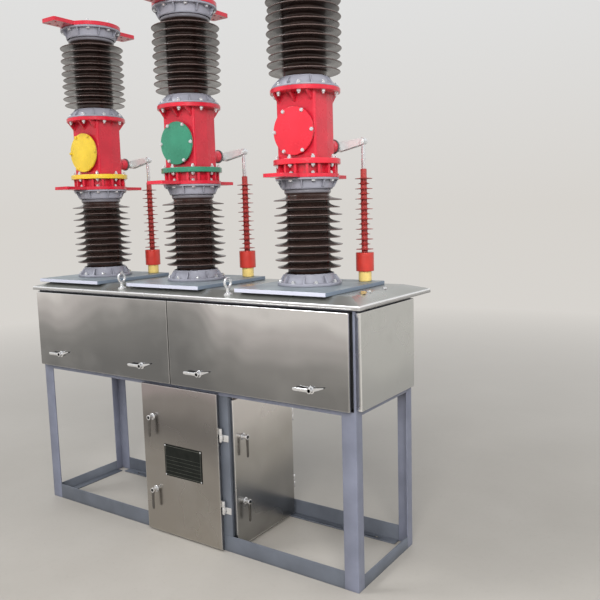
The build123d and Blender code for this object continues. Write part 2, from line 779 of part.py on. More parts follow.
def make_side_door():
    y_low = side_door_front
    y_high = side_door_rear
    body = block(side_door_back, side_door_face, y_low, y_high, side_door_bottom, side_door_top)
    body = fillet(body.edges().filter_by(Axis.Z).group_by(Axis.X)[-1], 3)
    hollow = block(side_door_back - 1, side_door_face - door_fold, y_low + door_fold, y_high - door_fold,
                   side_door_bottom + door_fold, side_door_top - door_fold)
    door = body - hollow
    half_leaf = hinge_leaf / 2
    arm = (cabinet_right, side_hinge_x, side_hinge_y - half_leaf, side_hinge_y + half_leaf)
    strap = (side_hinge_x - half_leaf, side_hinge_x + half_leaf, y_high - 1, side_hinge_y)
    fixed = []
    for z in side_hinge_heights:
        lower, upper = lift_off_hinge(side_hinge_x, side_hinge_y, z, (arm,), strap)
        fixed.append(lower)
        door += upper
    handle_y = y_low + side_handle_inset
    turned_handle = Rot(0, 0, 90) * handle(handle_proud)
    handles = [Pos(side_door_face, handle_y, z) * turned_handle for z in side_handle_heights]
    save("side_door", [door])
    save("side_door_handles", handles)
    return fixed


make_stand()
make_roof()
make_box()
make_roof_fittings()
make_poles()
make_linkage()
make_cabinet()
save("hinges", make_front_door() + make_side_door())
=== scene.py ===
import json
import math

import bmesh
import bpy
from mathutils import Matrix, Vector, noise


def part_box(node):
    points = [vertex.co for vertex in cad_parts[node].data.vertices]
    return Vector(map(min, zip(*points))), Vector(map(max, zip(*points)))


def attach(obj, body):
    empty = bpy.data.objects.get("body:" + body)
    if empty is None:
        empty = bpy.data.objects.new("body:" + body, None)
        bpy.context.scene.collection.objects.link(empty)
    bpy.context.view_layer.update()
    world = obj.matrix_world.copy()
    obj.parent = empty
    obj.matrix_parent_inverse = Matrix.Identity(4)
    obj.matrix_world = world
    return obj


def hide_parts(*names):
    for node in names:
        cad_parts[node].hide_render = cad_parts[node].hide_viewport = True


# Outdoor vacuum circuit breaker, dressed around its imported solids. Metres, +Z up, +X along the
# row of poles, +Y from the front to the back.

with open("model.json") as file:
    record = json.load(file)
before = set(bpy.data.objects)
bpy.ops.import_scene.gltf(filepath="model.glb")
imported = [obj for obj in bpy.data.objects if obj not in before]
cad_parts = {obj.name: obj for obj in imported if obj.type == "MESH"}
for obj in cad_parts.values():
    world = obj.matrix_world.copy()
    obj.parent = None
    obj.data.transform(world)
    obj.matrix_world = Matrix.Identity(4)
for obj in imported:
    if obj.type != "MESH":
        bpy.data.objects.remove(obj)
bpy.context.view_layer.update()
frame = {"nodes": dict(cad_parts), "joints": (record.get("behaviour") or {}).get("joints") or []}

POLES = ("left", "middle", "right")
STILL = "structure"

# Fasteners, by the size of their heads and nuts across the flats
FLANGE_BOLT = 0.016
COVER_BOLT = 0.014

# Bolt circles of the poles
BOLTS = 8
BOLT_CIRCLE = 0.134
TOP_BOLT_CIRCLE = 0.142
COVER_BOLTS = 6
COVER_BOLT_CIRCLE = 0.0985

# Plates and castings of the poles
TERMINAL_THICK = 0.016
HOUSING_FLANGE = 0.019
HOUSING_HALF_DEPTH = 0.083
BOSS_REACH = HOUSING_HALF_DEPTH + 0.068
COVER_NECK = 0.095
COVER_THICK = 0.010
BOSS_X = 0.050

# Camera that matches the photograph, in the frame
CAMERA_AT = Vector((2.3949, -2.7033, 1.5995))
CAMERA_YAW = 0.6009
CAMERA_PITCH = 0.1255
CAMERA_ROLL = -0.0274
CAMERA_LENS = 42.18
CAMERA_SHIFT_Y = -0.00233


# Places, read from the frame

def middle(node):
    """Middle of a node's box."""
    low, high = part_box(node)
    return (low + high) / 2


pole_axes = {pole: middle(f"phase_ring_{pole}").xy for pole in POLES}
plate_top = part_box("base_plates")[1].z
lower_low, lower_high = (corner.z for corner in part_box("lower_insulator_left"))
upper_low, upper_high = (corner.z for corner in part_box("upper_insulator_left"))
ring_low, ring_high = (corner.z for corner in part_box("phase_ring_left"))
housing_low, housing_high = (corner.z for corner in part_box("housing_left"))
flanges_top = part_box("flanges_left")[1].z
terminals_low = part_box("terminals_left")[0].z
cover_z = middle("phase_cover_left").z


def joint_place(name):
    """Where a joint turns, from the frame."""
    found = [joint for joint in frame["joints"] if joint["name"] == name]
    return Vector(found[0]["pos_m"])


boss_z = joint_place("lever_left_turn").z


# Shapes. A shape is a pair of point and face lists.

def joined(shapes):
    """One shape from several."""
    points, faces = [], []
    for more_points, more_faces in shapes:
        start = len(points)
        points += more_points
        faces += [[index + start for index in face] for face in more_faces]
    return points, faces


def moved(shape, matrix):
    """Shape after a matrix."""
    points, faces = shape
    return [matrix @ Vector(point) for point in points], faces


def shifted(shape, x=0.0, y=0.0, z=0.0):
    return moved(shape, Matrix.Translation((x, y, z)))


def turned_z(shape, angle):
    return moved(shape, Matrix.Rotation(angle, 4, "Z"))


def arc_points(centre, radius, start, end, steps):
    """Points on an arc, both ends included."""
    angles = [start + (end - start) * step / steps for step in range(steps + 1)]
    return [(centre[0] + radius * math.cos(angle), centre[1] + radius * math.sin(angle)) for angle in angles]


def rounded(points, radius, steps=3, closed=True):
    """Polyline with its corners rounded."""
    count = len(points)
    result = []
    for index, point in enumerate(points):
        if not closed and index in (0, count - 1):
            result.append(tuple(point))
            continue
        here = Vector(point)
        before = Vector(points[index - 1]) - here
        after = Vector(points[(index + 1) % count]) - here
        if before.length < 1e-7 or after.length < 1e-7:
            continue
        opening = before.angle(after)
        reach = radius / max(math.tan(opening / 2), 1e-4)
        reach = min(reach, before.length * 0.48, after.length * 0.48)
        if opening > math.radians(172) or reach < 1e-6:
            result.append(tuple(point))
            continue
        start = here + before.normalized() * reach
        end = here + after.normalized() * reach
        for step in range(steps + 1):
            t = step / steps
            result.append(tuple(start * (1 - t) ** 2 + here * 2 * t * (1 - t) + end * t * t))
    return result


def lathe(profile, segments=64, closed=False):
    """Surface turned about Z from (radius, height) points; closed joins the last to the first."""
    points, faces, rings = [], [], []
    for radius, height in profile:
        if radius < 1e-6:
            rings.append([len(points)])
            points.append(Vector((0, 0, height)))
            continue
        ring = []
        for step in range(segments):
            angle = 2 * math.pi * step / segments
            ring.append(len(points))
            points.append(Vector((radius * math.cos(angle), radius * math.sin(angle), height)))
        rings.append(ring)
    pairs = list(zip(rings, rings[1:]))
    if closed:
        pairs.append((rings[-1], rings[0]))
    for low, high in pairs:
        for step in range(segments):
            after = (step + 1) % segments
            below = [low[step % len(low)], low[after % len(low)]]
            above = [high[after % len(high)], high[step % len(high)]]
            face = list(dict.fromkeys(below + above))
            if len(face) > 2:
                faces.append(face)
    return points, faces


def spun(corners, edge, segments, steps=2):
    """Solid turned about Z from a profile that starts and ends on the axis, its corners rounded."""
    return lathe(rounded(corners, edge, steps, False), segments)


def disc(radius, low, high, edge=0.001, segments=48):
    return spun([(0, low), (radius, low), (radius, high), (0, high)], edge, segments, 3)


def tube(outer, inner, low, high, edge=0.001, segments=48):
    """Ring with a bore."""
    corners = [(inner, low), (outer, low), (outer, high), (inner, high)]
    return lathe(rounded(corners, edge, 3), segments, True)


def plate(outline, low, high, holes=()):
    """Flat plate from a closed outline, with round holes given as (x, y, radius)."""
    mesh = bmesh.new()
    loops = [outline]
    for x, y, radius in holes:
        loops.append(arc_points((x, y), radius, 0, 2 * math.pi * 23 / 24, 23))
    edges = []
    for loop in loops:
        corners = [mesh.verts.new((x, y, low)) for x, y in loop]
        edges += [mesh.edges.new((a, b)) for a, b in zip(corners, corners[1:] + corners[:1])]
    bmesh.ops.triangle_fill(mesh, use_beauty=True, use_dissolve=False, edges=edges)
    grown = bmesh.ops.extrude_face_region(mesh, geom=mesh.faces[:])
    lifted = [item for item in grown["geom"] if isinstance(item, bmesh.types.BMVert)]
    bmesh.ops.translate(mesh, vec=(0, 0, high - low), verts=lifted)
    bmesh.ops.recalc_face_normals(mesh, faces=mesh.faces[:])
    mesh.verts.index_update()
    shape = ([vert.co.copy() for vert in mesh.verts], [[v.index for v in face.verts] for face in mesh.faces])
    mesh.free()
    return shape


def block(low, high):
    """Box between two corners; its edges are rounded later."""
    outline = [(low[0], low[1]), (high[0], low[1]), (high[0], high[1]), (low[0], high[1])]
    return plate(outline, low[2], high[2])


def upright(shape):
    """Turn a shape so that its top points to the front."""
    return moved(shape, Matrix.Rotation(math.radians(90), 4, "X"))


def along_y(shape):
    """Turn a shape so that its top points to the back."""
    return moved(shape, Matrix.Rotation(math.radians(-90), 4, "X"))


def stacked(rings):
    """Closed surface over rings of points, all with as many points."""
    sides = len(rings[0])
    points = [Vector(point) for ring in rings for point in ring]
    faces = []
    for start in range(0, len(points) - sides, sides):
        for step in range(sides):
            after = (step + 1) % sides
            faces.append([start + step, start + after, start + sides + after, start + sides + step])
    faces.append([len(points) - sides + step for step in range(sides)])
    faces.append(list(reversed(range(sides))))
    return points, faces


def hexagon_head(across, height, turn=0.0):
    """Hexagon with a chamfered top, on Z = 0."""
    radius = across / math.sqrt(3)
    angles = [turn + math.pi * step / 3 for step in range(6)]
    levels = ((radius, 0), (radius, height * 0.82), (radius * 0.86, height), (radius * 0.5, height))
    return stacked([[(reach * math.cos(angle), reach * math.sin(angle), level) for angle in angles]
                    for reach, level in levels])


def bolt_head(across, turn=0.0, rise=0.42):
    """Washer and hexagon; the rise is the hexagon's height as a share of its width."""
    washer = across * 0.1
    hexagon = shifted(hexagon_head(across, across * rise, turn), z=washer)
    return joined([disc(across * 0.62, 0, washer, across * 0.02, 20), hexagon])


def bolt_nut(across, stud=0.25):
    """Washer, nut and the end of the stud."""
    nut_top = across * 0.6
    end = disc(across / 3, nut_top - 0.001, nut_top + across * stud, across * 0.06, 14)
    return joined([bolt_head(across, rise=0.5), end])


def around(shape, count, radius, start, height, flip=False):
    """Copies of a fastener on a circle about Z, standing up, or hanging down when flipped."""
    copies = []
    for step in range(count):
        angle = start + 2 * math.pi * step / count
        place = Matrix.Translation((radius * math.cos(angle), radius * math.sin(angle), height))
        place = place @ Matrix.Rotation(angle + 0.9 * step, 4, "Z")
        if flip:
            place = place @ Matrix.Rotation(math.pi, 4, "X")
        copies.append(moved(shape, place))
    return joined(copies)


# Sheet metal

FLAT_BORDER = 0.06
OUTWARD = {
    "front": Matrix(((1, 0, 0, 0), (0, 0, -1, 0), (0, 1, 0, 0), (0, 0, 0, 1))),
    "rear": Matrix(((-1, 0, 0, 0), (0, 0, 1, 0), (0, 1, 0, 0), (0, 0, 0, 1))),
    "right": Matrix(((0, 0, 1, 0), (1, 0, 0, 0), (0, 1, 0, 0), (0, 0, 0, 1))),
    "left": Matrix(((0, 0, -1, 0), (-1, 0, 0, 0), (0, 1, 0, 0), (0, 0, 0, 1))),
}


def unevenness(x, y, seed, size):
    """Shallow waves of thin sheet, from 0 to 1."""
    first = noise.noise(Vector((x / size, y / size, seed)))
    second = noise.noise(Vector((x / size * 2.3, y / size * 2.3, seed + 7.0)))
    return 0.5 + 0.36 * first + 0.14 * second


def pan(rings, cells, dent=0.0, seed=0.0, wave=0.3):
    """Open sheet shape: rectangles (x_low, x_high, y_low, y_high, level) from the open edge inward.

    The last one is uneven by up to the dent, except near its folds."""
    across, along = cells
    loop = [(i, 0) for i in range(across)] + [(across, j) for j in range(along)]
    loop += [(across - i, along) for i in range(across)] + [(0, along - j) for j in range(along)]
    points, faces = [], []

    def on_ring(ring, i, j):
        x_low, x_high, y_low, y_high, level = ring
        return Vector((x_low + (x_high - x_low) * i / across, y_low + (y_high - y_low) * j / along, level))

    for ring in rings[:-1]:
        points += [on_ring(ring, i, j) for i, j in loop]
    top = rings[-1]
    start = len(points)
    for j in range(along + 1):
        for i in range(across + 1):
            place = on_ring(top, i, j)
            inside = min(place.x - top[0], top[1] - place.x, place.y - top[2], top[3] - place.y)
            calm = min(1.0, max(0.0, inside) / FLAT_BORDER)
            place.z -= dent * calm * calm * (3 - 2 * calm) * unevenness(place.x, place.y, seed, wave)
            points.append(place)
    inner = [start + j * (across + 1) + i for i, j in loop]
    count = len(loop)
    loops = [[number * count + k for k in range(count)] for number in range(len(rings) - 1)] + [inner]
    for low, high in zip(loops, loops[1:]):
        for k in range(count):
            after = (k + 1) % count
            faces.append([low[k], low[after], high[after], high[k]])
    for j in range(along):
        for i in range(across):
            corner = start + j * (across + 1) + i
            faces.append([corner, corner + 1, corner + across + 2, corner + across + 1])
    return points, faces


def wall_pan(low, high, outward, cells, dent, seed):
    """Tray that fills the box between two corners, with its face towards one side."""
    turn = OUTWARD[outward]
    back = turn.transposed()
    a, b = back @ Vector(low), back @ Vector(high)
    near = Vector((min(a.x, b.x), min(a.y, b.y), min(a.z, b.z)))
    far = Vector((max(a.x, b.x), max(a.y, b.y), max(a.z, b.z)))
    side = (near.x, far.x, near.y, far.y)
    return moved(pan([(*side, near.z), (*side, far.z)], cells, dent, seed), turn)


# Pieces

def piece(name, shape, material, slot, body=STILL, replaces=(), bevel=0.0, sheet=0.0, smooth=35):
    """Make one object of the model from a shape."""
    points, faces = shape
    mesh = bpy.data.meshes.new(name)
    mesh.from_pydata([tuple(point) for point in points], [], faces)
    mesh.update()
    tidy = bmesh.new()
    tidy.from_mesh(mesh)
    bmesh.ops.remove_doubles(tidy, verts=tidy.verts[:], dist=1e-6)
    bmesh.ops.recalc_face_normals(tidy, faces=tidy.faces[:])
    tidy.to_mesh(mesh)
    tidy.free()
    thing = bpy.data.objects.new(name, mesh)
    bpy.context.scene.collection.objects.link(thing)
    mesh.materials.append(material)
    finish_edges(thing, bevel, sheet, smooth)
    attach(thing, body)
    if replaces:
        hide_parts(*replaces)
    return thing


def finish_edges(thing, bevel, sheet=0.0, smooth=35, weld=False):
    """Rounded edges, sheet thickness and smooth shading."""
    mesh = thing.data
    mesh.shade_smooth()
    mesh.set_sharp_from_angle(angle=math.radians(smooth))
    if weld:
        merge = thing.modifiers.new("merge", "WELD")
        merge.merge_threshold = 1e-5
    if bevel:
        edges = thing.modifiers.new("edges", "BEVEL")
        edges.width = bevel
        edges.segments = 2
        edges.limit_method = "ANGLE"
        edges.angle_limit = math.radians(32)
        edges.harden_normals = True
    if sheet:
        skin = thing.modifiers.new("sheet", "SOLIDIFY")
        skin.thickness = sheet
        skin.offset = -1


# Materials

def scaled(colour, factor):
    return tuple(part * factor for part in colour)


class Graph:
    """Node tree of a material or of the world, and the ways to add to it."""

    def __init__(self, owner):
        owner.use_nodes = True
        self.nodes = owner.node_tree.nodes
        self.links = owner.node_tree.links

    def feed(self, socket, value):
        """Link a socket, or set it to a plain value; a colour is given without its alpha."""
        if isinstance(value, bpy.types.NodeSocket):
            self.links.new(value, socket)
        elif socket.type == "RGBA":
            socket.default_value = (*value, 1.0)
        else:
            socket.default_value = value

    def add(self, kind, inputs):
        """New node with some of its inputs linked or set."""
        node = self.nodes.new(f"ShaderNode{kind}")
        for key, value in inputs.items():
            self.feed(node.inputs[key], value)
        return node

    def metres(self, stretch=(1, 1, 1)):
        """Coordinates in metres, stretched along the axes."""
        place = self.add("TexCoord", {}).outputs["Object"]
        return self.add("Mapping", {"Vector": place, "Scale": stretch}).outputs["Vector"]

    def noise(self, place, scale, detail=3.0, rough=0.5):
        cloud = self.add("TexNoise", {"Vector": place, "Scale": scale, "Detail": detail, "Roughness": rough})
        return cloud.outputs["Fac"]

    def spread(self, value, low, high, from_low=0.3, from_high=0.7):
        """Map a value from one range to another; noise lies mostly between 0.3 and 0.7."""
        node = self.add("MapRange", {"Value": value, "From Min": from_low, "From Max": from_high,
                                     "To Min": low, "To Max": high})
        return node.outputs["Result"]

    def computed(self, kind, operation, *values):
        """Number that a Math or VectorMath node gives."""
        node = self.add(kind, {})
        node.operation = operation
        for number, value in enumerate(values):
            self.feed(node.inputs[number], value)
        return node.outputs["Value"]

    def mixed(self, factor, first, second):
        """Mix of two colours."""
        node = self.nodes.new("ShaderNodeMix")
        node.data_type = "RGBA"
        for number, value in ((0, factor), (6, first), (7, second)):
            self.feed(node.inputs[number], value)
        return node.outputs[2]

    def blended(self, factor, first, second):
        """Mix of two shaders."""
        return self.add("MixShader", {0: factor, 1: first, 2: second}).outputs[0]

    def ramp(self, value, stops):
        """Smooth colour ramp over a value; each stop is a place and a colour."""
        low, high = stops[0][0], stops[-1][0]
        node = self.add("ValToRGB", {"Fac": self.spread(value, 0.0, 1.0, low, high)})
        node.color_ramp.interpolation = "EASE"
        elements = node.color_ramp.elements
        while len(elements) < len(stops):
            elements.new(0.5)
        for element, (place, colour) in zip(elements, stops):
            element.position = (place - low) / (high - low)
            element.color = (*colour, 1.0)
        return node.outputs["Color"]

    def looked_at(self):
        """1 for what the camera, a mirror or a glass shows, 0 for light that falls on the object."""
        ray = self.add("LightPath", {}).outputs
        seen = self.computed("Math", "MAXIMUM", ray["Is Camera Ray"], ray["Is Glossy Ray"])
        return self.computed("Math", "MAXIMUM", seen, ray["Is Transmission Ray"])


class Surface(Graph):
    """Material of one kind of surface."""

    def __init__(self, name):
        self.material = bpy.data.materials.new(name)
        super().__init__(self.material)
        self.place = self.metres()

    def cloud(self, scale, detail=3.0, rough=0.5):
        return self.noise(self.place, scale, detail, rough)

    def attribute(self, name):
        """Value stored on the points of the mesh."""
        node = self.nodes.new("ShaderNodeAttribute")
        node.attribute_name = name
        return node.outputs["Fac"]

    def bump(self, height, strength, distance, normal=None):
        inputs = {"Height": height, "Strength": strength, "Distance": distance}
        if normal is not None:
            inputs["Normal"] = normal
        return self.add("Bump", inputs).outputs["Normal"]

    def edges(self, radius):
        """1 near sharp edges, 0 on flats."""
        soft = self.add("Bevel", {"Radius": radius})
        soft.samples = 4
        plain = self.add("NewGeometry", {})
        dot = self.computed("VectorMath", "DOT_PRODUCT", soft.outputs["Normal"], plain.outputs["Normal"])
        return self.spread(dot, 1.0, 0.0, 0.86, 0.99)

    def with_painted_corner_shade(self, base, colour, distance, amount, from_low=0.2, from_high=0.8):
        """Base darkened to a colour in corners and gaps, found by ambient occlusion: painted shade."""
        node = self.add("AmbientOcclusion", {"Distance": distance})
        node.samples = 6
        corner = self.spread(node.outputs["AO"], amount, 0.0, from_low, from_high)
        return self.mixed(corner, base, colour)

    def turned_to(self, axis, sign):
        """1 on faces turned along one axis, 0 on the others."""
        normal = self.add("NewGeometry", {}).outputs["True Normal"]
        part = self.add("SeparateXYZ", {0: normal}).outputs[axis]
        return self.spread(part, 0.0, 1.0, 0.6 * sign, 0.9 * sign)

    def reflection_tones(self, stops, reflection_sway, stray):
        """Colour by height, which paints the reflections of the surroundings; the levels are lifted and
        dropped along X by the given pairs, and the stray makes them wander.
        """
        parts = self.add("SeparateXYZ", {0: self.place}).outputs
        level = parts["Z"]
        if reflection_sway:
            grey = self.ramp(parts["X"], [(x, (0.5 + rise,) * 3) for x, rise in reflection_sway])
            level = self.computed("Math", "ADD", level, self.spread(grey, -0.5, 0.5, 0.0, 1.0))
        wander = self.spread(self.cloud(2.6, 2.0), -stray, stray)
        return self.ramp(self.computed("Math", "ADD", level, wander), stops)

    def shaded(self, inputs):
        """The material, with its shader's inputs linked or set."""
        for name, value in inputs.items():
            self.feed(self.nodes["Principled BSDF"].inputs[name], value)
        return self.material


def paint(name, colour, roughness, coat=0.0, worn=(0.5, 0.5, 0.5), corner_shade=0.5, peel=0.0004, shine=0.5,
          front=None, side=None):
    """Sprayed paint: slight mottling, orange peel, painted shade in corners and rubbed edges; faces turned to
    the front and to the right can take colours of their own, which are painted light and painted shade.
    """
    skin = Surface(name)
    light = tuple(min(1.0, part * 1.08 + 0.004) for part in colour)
    base = skin.mixed(skin.spread(skin.cloud(9.0, 4.0), 0.0, 1.0), scaled(colour, 0.86), light)
    # Faces turned to the front and to the right take their own colours: painted light and painted shade.
    if front:
        base = skin.mixed(skin.turned_to("Y", -1), base, front)
    if side:
        base = skin.mixed(skin.turned_to("X", 1), base, side)
    # Darker colour for the corners and gaps: painted shade.
    shade_colour = tuple(part * 0.25 + 0.01 for part in colour)
    base = skin.with_painted_corner_shade(base, shade_colour, 0.025, corner_shade, 0.25, 0.85)
    patches = skin.spread(skin.cloud(35.0, 5.0, 0.65), 0.0, 0.35, 0.42, 0.62)
    rub = skin.computed("Math", "MULTIPLY", skin.edges(0.0016), patches)
    smudge = skin.cloud(14.0, 5.0, 0.6)
    return skin.shaded({
        "Base Color": skin.mixed(rub, base, worn),
        "Roughness": skin.spread(smudge, roughness * 0.75, roughness * 1.35),
        "Normal": skin.bump(skin.cloud(420.0, 2.0), 0.25, peel),
        "Specular IOR Level": shine,
        "Coat Weight": coat,
        "Coat Roughness": 0.08,
    })


def stainless(name, stops, roughness, along, wave=0.0, reflection_sway=(), stray=0.05, metal=1.0, front=None):
    """Polished stainless sheet: colour by height that paints the reflections of its surroundings, rolling
    grain along one axis, faint smudges, painted highlights on the folds and, where a front colour is given, a
    painted highlight on faces turned to the front.
    """
    skin = Surface(name)
    stretch = {"x": (5, 420, 420), "z": (420, 420, 5)}[along]
    grain = skin.noise(skin.metres(stretch), 1.0, 2.0)
    base = skin.reflection_tones(stops, reflection_sway, stray)
    stain = skin.spread(skin.cloud(9.0, 3.0, 0.55), 0.0, 0.10, 0.55, 0.75)
    base = skin.mixed(stain, base, (0.24, 0.23, 0.22))
    pale = skin.spread(skin.cloud(5.0, 2.0, 0.5), 0.0, 0.12, 0.5, 0.75)
    base = skin.mixed(pale, base, (0.80, 0.80, 0.80))
    base = skin.mixed(skin.spread(grain, 0.0, 0.02, 0.35, 0.7), base, (0.9, 0.9, 0.9))
    # Faces turned to the front can take their own colour: a painted highlight.
    if front:
        base = skin.mixed(skin.turned_to("Y", -1), base, front)
    # Edges mixed towards near white: painted highlights on the folds.
    fold_highlight = skin.spread(skin.edges(0.006), 0.0, 0.75, 0.0, 1.0)
    normal = skin.bump(grain, 0.02, 0.00010)
    if wave:
        normal = skin.bump(skin.cloud(2.4, 1.0), 1.0, wave, normal)
    return skin.shaded({
        "Base Color": skin.mixed(fold_highlight, base, (0.95, 0.94, 0.93)),
        "Metallic": metal,
        "Roughness": skin.spread(skin.cloud(4.0, 2.0, 0.5), roughness * 0.85, roughness * 1.25),
        "Normal": normal,
        "Anisotropic": 0.1,
    })


def galvanised(name, colour, roughness):
    """Bright galvanised steel, partly dulled, with a faint grain of crystals and painted shade in its
    hollows.
    """
    skin = Surface(name)
    crystal = skin.add("TexVoronoi", {"Vector": skin.place, "Scale": 90.0}).outputs["Distance"]
    tone = skin.spread(crystal, 0.0, 1.0, 0.1, 0.7)
    base = skin.mixed(tone, colour, scaled(colour, 0.9))
    return skin.shaded({
        "Base Color": skin.with_painted_corner_shade(base, scaled(colour, 0.35), 0.008, 0.6),
        "Metallic": 0.25,
        "Roughness": skin.spread(tone, roughness * 0.85, roughness * 1.2, 0, 1),
        "Normal": skin.bump(skin.cloud(500.0, 2.0), 0.2, 0.0003),
    })


def plated(name, colour, roughness, metal=1.0):
    """Bright zinc or chrome, slightly dulled and pitted, with painted shade in its hollows."""
    skin = Surface(name)
    cloud = skin.spread(skin.cloud(60.0, 4.0, 0.6), 0.0, 1.0)
    base = skin.mixed(cloud, scaled(colour, 0.82), colour)
    return skin.shaded({
        "Base Color": skin.with_painted_corner_shade(base, scaled(colour, 0.3), 0.006, 0.5),
        "Metallic": metal,
        "Roughness": skin.spread(cloud, roughness * 0.7, roughness * 1.4, 0, 1),
        "Normal": skin.bump(skin.cloud(700.0, 2.0), 0.15, 0.0003),
    })


def glaze(name):
    """Dark brown porcelain glaze, lighter on the shed rims where the glaze is thinner and where a highlight
    is painted, with a dull grey collar.
    """
    skin = Surface(name)
    cloud = skin.spread(skin.cloud(16.0, 4.0), 0.0, 1.0)
    base = skin.mixed(cloud, (0.036, 0.020, 0.017), (0.062, 0.036, 0.030))
    # Rims lighten towards pale brown: partly thinner glaze, partly a painted highlight.
    thin = skin.spread(skin.attribute("rim"), 0.0, 0.5, 0.0, 1.0)
    base = skin.mixed(thin, base, (0.20, 0.15, 0.14))
    base = skin.mixed(skin.attribute("collar"), base, (0.20, 0.195, 0.22))
    speck = skin.spread(skin.cloud(260.0, 2.0), 0.0, 0.5, 0.68, 0.76)
    return skin.shaded({
        "Base Color": skin.mixed(speck, base, (0.10, 0.07, 0.06)),
        "Roughness": skin.spread(skin.cloud(7.0, 5.0, 0.6), 0.18, 0.36),
        "Normal": skin.bump(skin.cloud(45.0, 2.0), 0.3, 0.0006),
        "Coat Weight": 0.3,
        "Coat Roughness": 0.06,
        "Specular IOR Level": 0.4,
    })


def moulded(name, colour, roughness, flecks=0.2, coat=0.0, shine=0.5):
    """Cast resin or rubber: soft mottling, a satin skin and painted shade in its hollows."""
    skin = Surface(name)
    cloud = skin.spread(skin.cloud(22.0, 4.0), 0.0, 1.0)
    base = skin.mixed(cloud, scaled(colour, 1 - flecks), colour)
    return skin.shaded({
        "Base Color": skin.with_painted_corner_shade(base, scaled(colour, 0.35), 0.015, 0.45),
        "Roughness": skin.spread(skin.cloud(30.0, 4.0), roughness * 0.8, roughness * 1.3),
        "Normal": skin.bump(skin.cloud(300.0, 2.0), 0.2, 0.0004),
        "Specular IOR Level": shine,
        "Coat Weight": coat,
        "Coat Roughness": 0.12,
    })


STAND = paint("stand_paint", (0.215, 0.230, 0.300), 0.36, worn=(0.46, 0.49, 0.55))
# Darker copy of the stand paint for the bottom rails and the cabinet posts: painted shade.
STAND_SHADE = paint("stand_paint_shaded", (0.130, 0.145, 0.175), 0.42, worn=(0.32, 0.35, 0.40))
# Plate paint lighter on faces turned to the front and darker on faces turned to the right: painted light and
# painted shade.
PLATE = paint("plate_paint", (0.28, 0.325, 0.355), 0.36, worn=(0.6, 0.64, 0.7), shine=0.35,
              front=(0.66, 0.68, 0.80), side=(0.20, 0.25, 0.32))
CAST = paint("cast_paint", (0.35, 0.355, 0.415), 0.34, worn=(0.6, 0.6, 0.64), corner_shade=0.6, peel=0.0008)
DARK = paint("dark_grey_paint", (0.12, 0.125, 0.13), 0.4, worn=(0.4, 0.4, 0.42))
RED = paint("red_paint", (0.70, 0.018, 0.045), 0.26, coat=0.25, worn=(0.85, 0.25, 0.2))
PHASE = {
    "left": paint("yellow_phase_paint", (0.88, 0.62, 0.04), 0.26, coat=0.25, worn=(0.95, 0.8, 0.4)),
    "middle": paint("green_phase_paint", (0.035, 0.26, 0.155), 0.26, coat=0.25, worn=(0.3, 0.5, 0.4)),
    "right": paint("red_phase_paint", (0.80, 0.022, 0.048), 0.24, coat=0.25, worn=(0.9, 0.3, 0.25)),
}
PHASE_SLOT = {"left": "phase_yellow", "middle": "phase_green", "right": "phase_red"}
# The stops of the stainless sheets below colour them by height, and the panel's pairs along X lift and drop
# those levels: painted reflections, light where the sheets mirror bright surroundings and dark where they
# mirror the floor and nearby parts. The thin near-white band near the roof's lip is a painted highlight.
PANEL = stainless(
    "panel_sheet",
    [(0.78, (0.235, 0.235, 0.235)), (0.95, (0.29, 0.288, 0.285)), (1.05, (0.36, 0.355, 0.35)),
     (1.12, (0.50, 0.485, 0.48)), (1.20, (0.66, 0.635, 0.63)), (1.28, (0.88, 0.86, 0.85))],
    0.17, "x", 0.0040,
    ((-1.0, 0.10), (-0.87, 0.07), (-0.46, -0.05), (0.0, -0.10), (0.14, -0.09), (0.36, 0.10), (0.50, 0.17),
     (0.85, 0.14), (1.0, 0.16)))
ROOF = stainless(
    "roof_sheet",
    [(1.199, (0.48, 0.48, 0.48)), (1.2105, (0.56, 0.56, 0.56)), (1.2135, (0.95, 0.95, 0.95)),
     (1.216, (0.93, 0.93, 0.93)), (1.219, (0.40, 0.40, 0.37)), (1.242, (0.44, 0.445, 0.42))],
    0.28, "x", stray=0.0005, metal=0.6)
DOOR = stainless(
    "door_sheet",
    [(0.0, (0.43, 0.40, 0.36)), (0.35, (0.40, 0.375, 0.345)), (0.55, (0.25, 0.235, 0.225)),
     (0.68, (0.36, 0.335, 0.32)), (0.77, (0.50, 0.44, 0.44))],
    0.24, "z", 0.0020)
SIDE = stainless(
    "side_sheet",
    [(0.0, (0.27, 0.265, 0.25)), (0.2, (0.40, 0.395, 0.385)), (0.45, (0.60, 0.58, 0.545)),
     (0.62, (0.90, 0.86, 0.83)), (0.75, (0.98, 0.94, 0.91))],
    0.24, "z", 0.0015)
# The end covers' faces turned to the front are near white: a painted highlight.
END = stainless(
    "end_sheet",
    [(0.78, (0.60, 0.61, 0.60)), (0.95, (0.71, 0.72, 0.70)), (1.19, (0.68, 0.69, 0.67))],
    0.28, "z", 0.0020, front=(0.96, 0.96, 0.95))
ZINC = plated("zinc", (0.93, 0.94, 0.96), 0.26, 0.75)
YELLOW_ZINC = plated("yellow_zinc", (0.85, 0.62, 0.30), 0.32, 0.75)
CHROME = plated("chrome", (0.96, 0.96, 0.97), 0.14, 0.9)
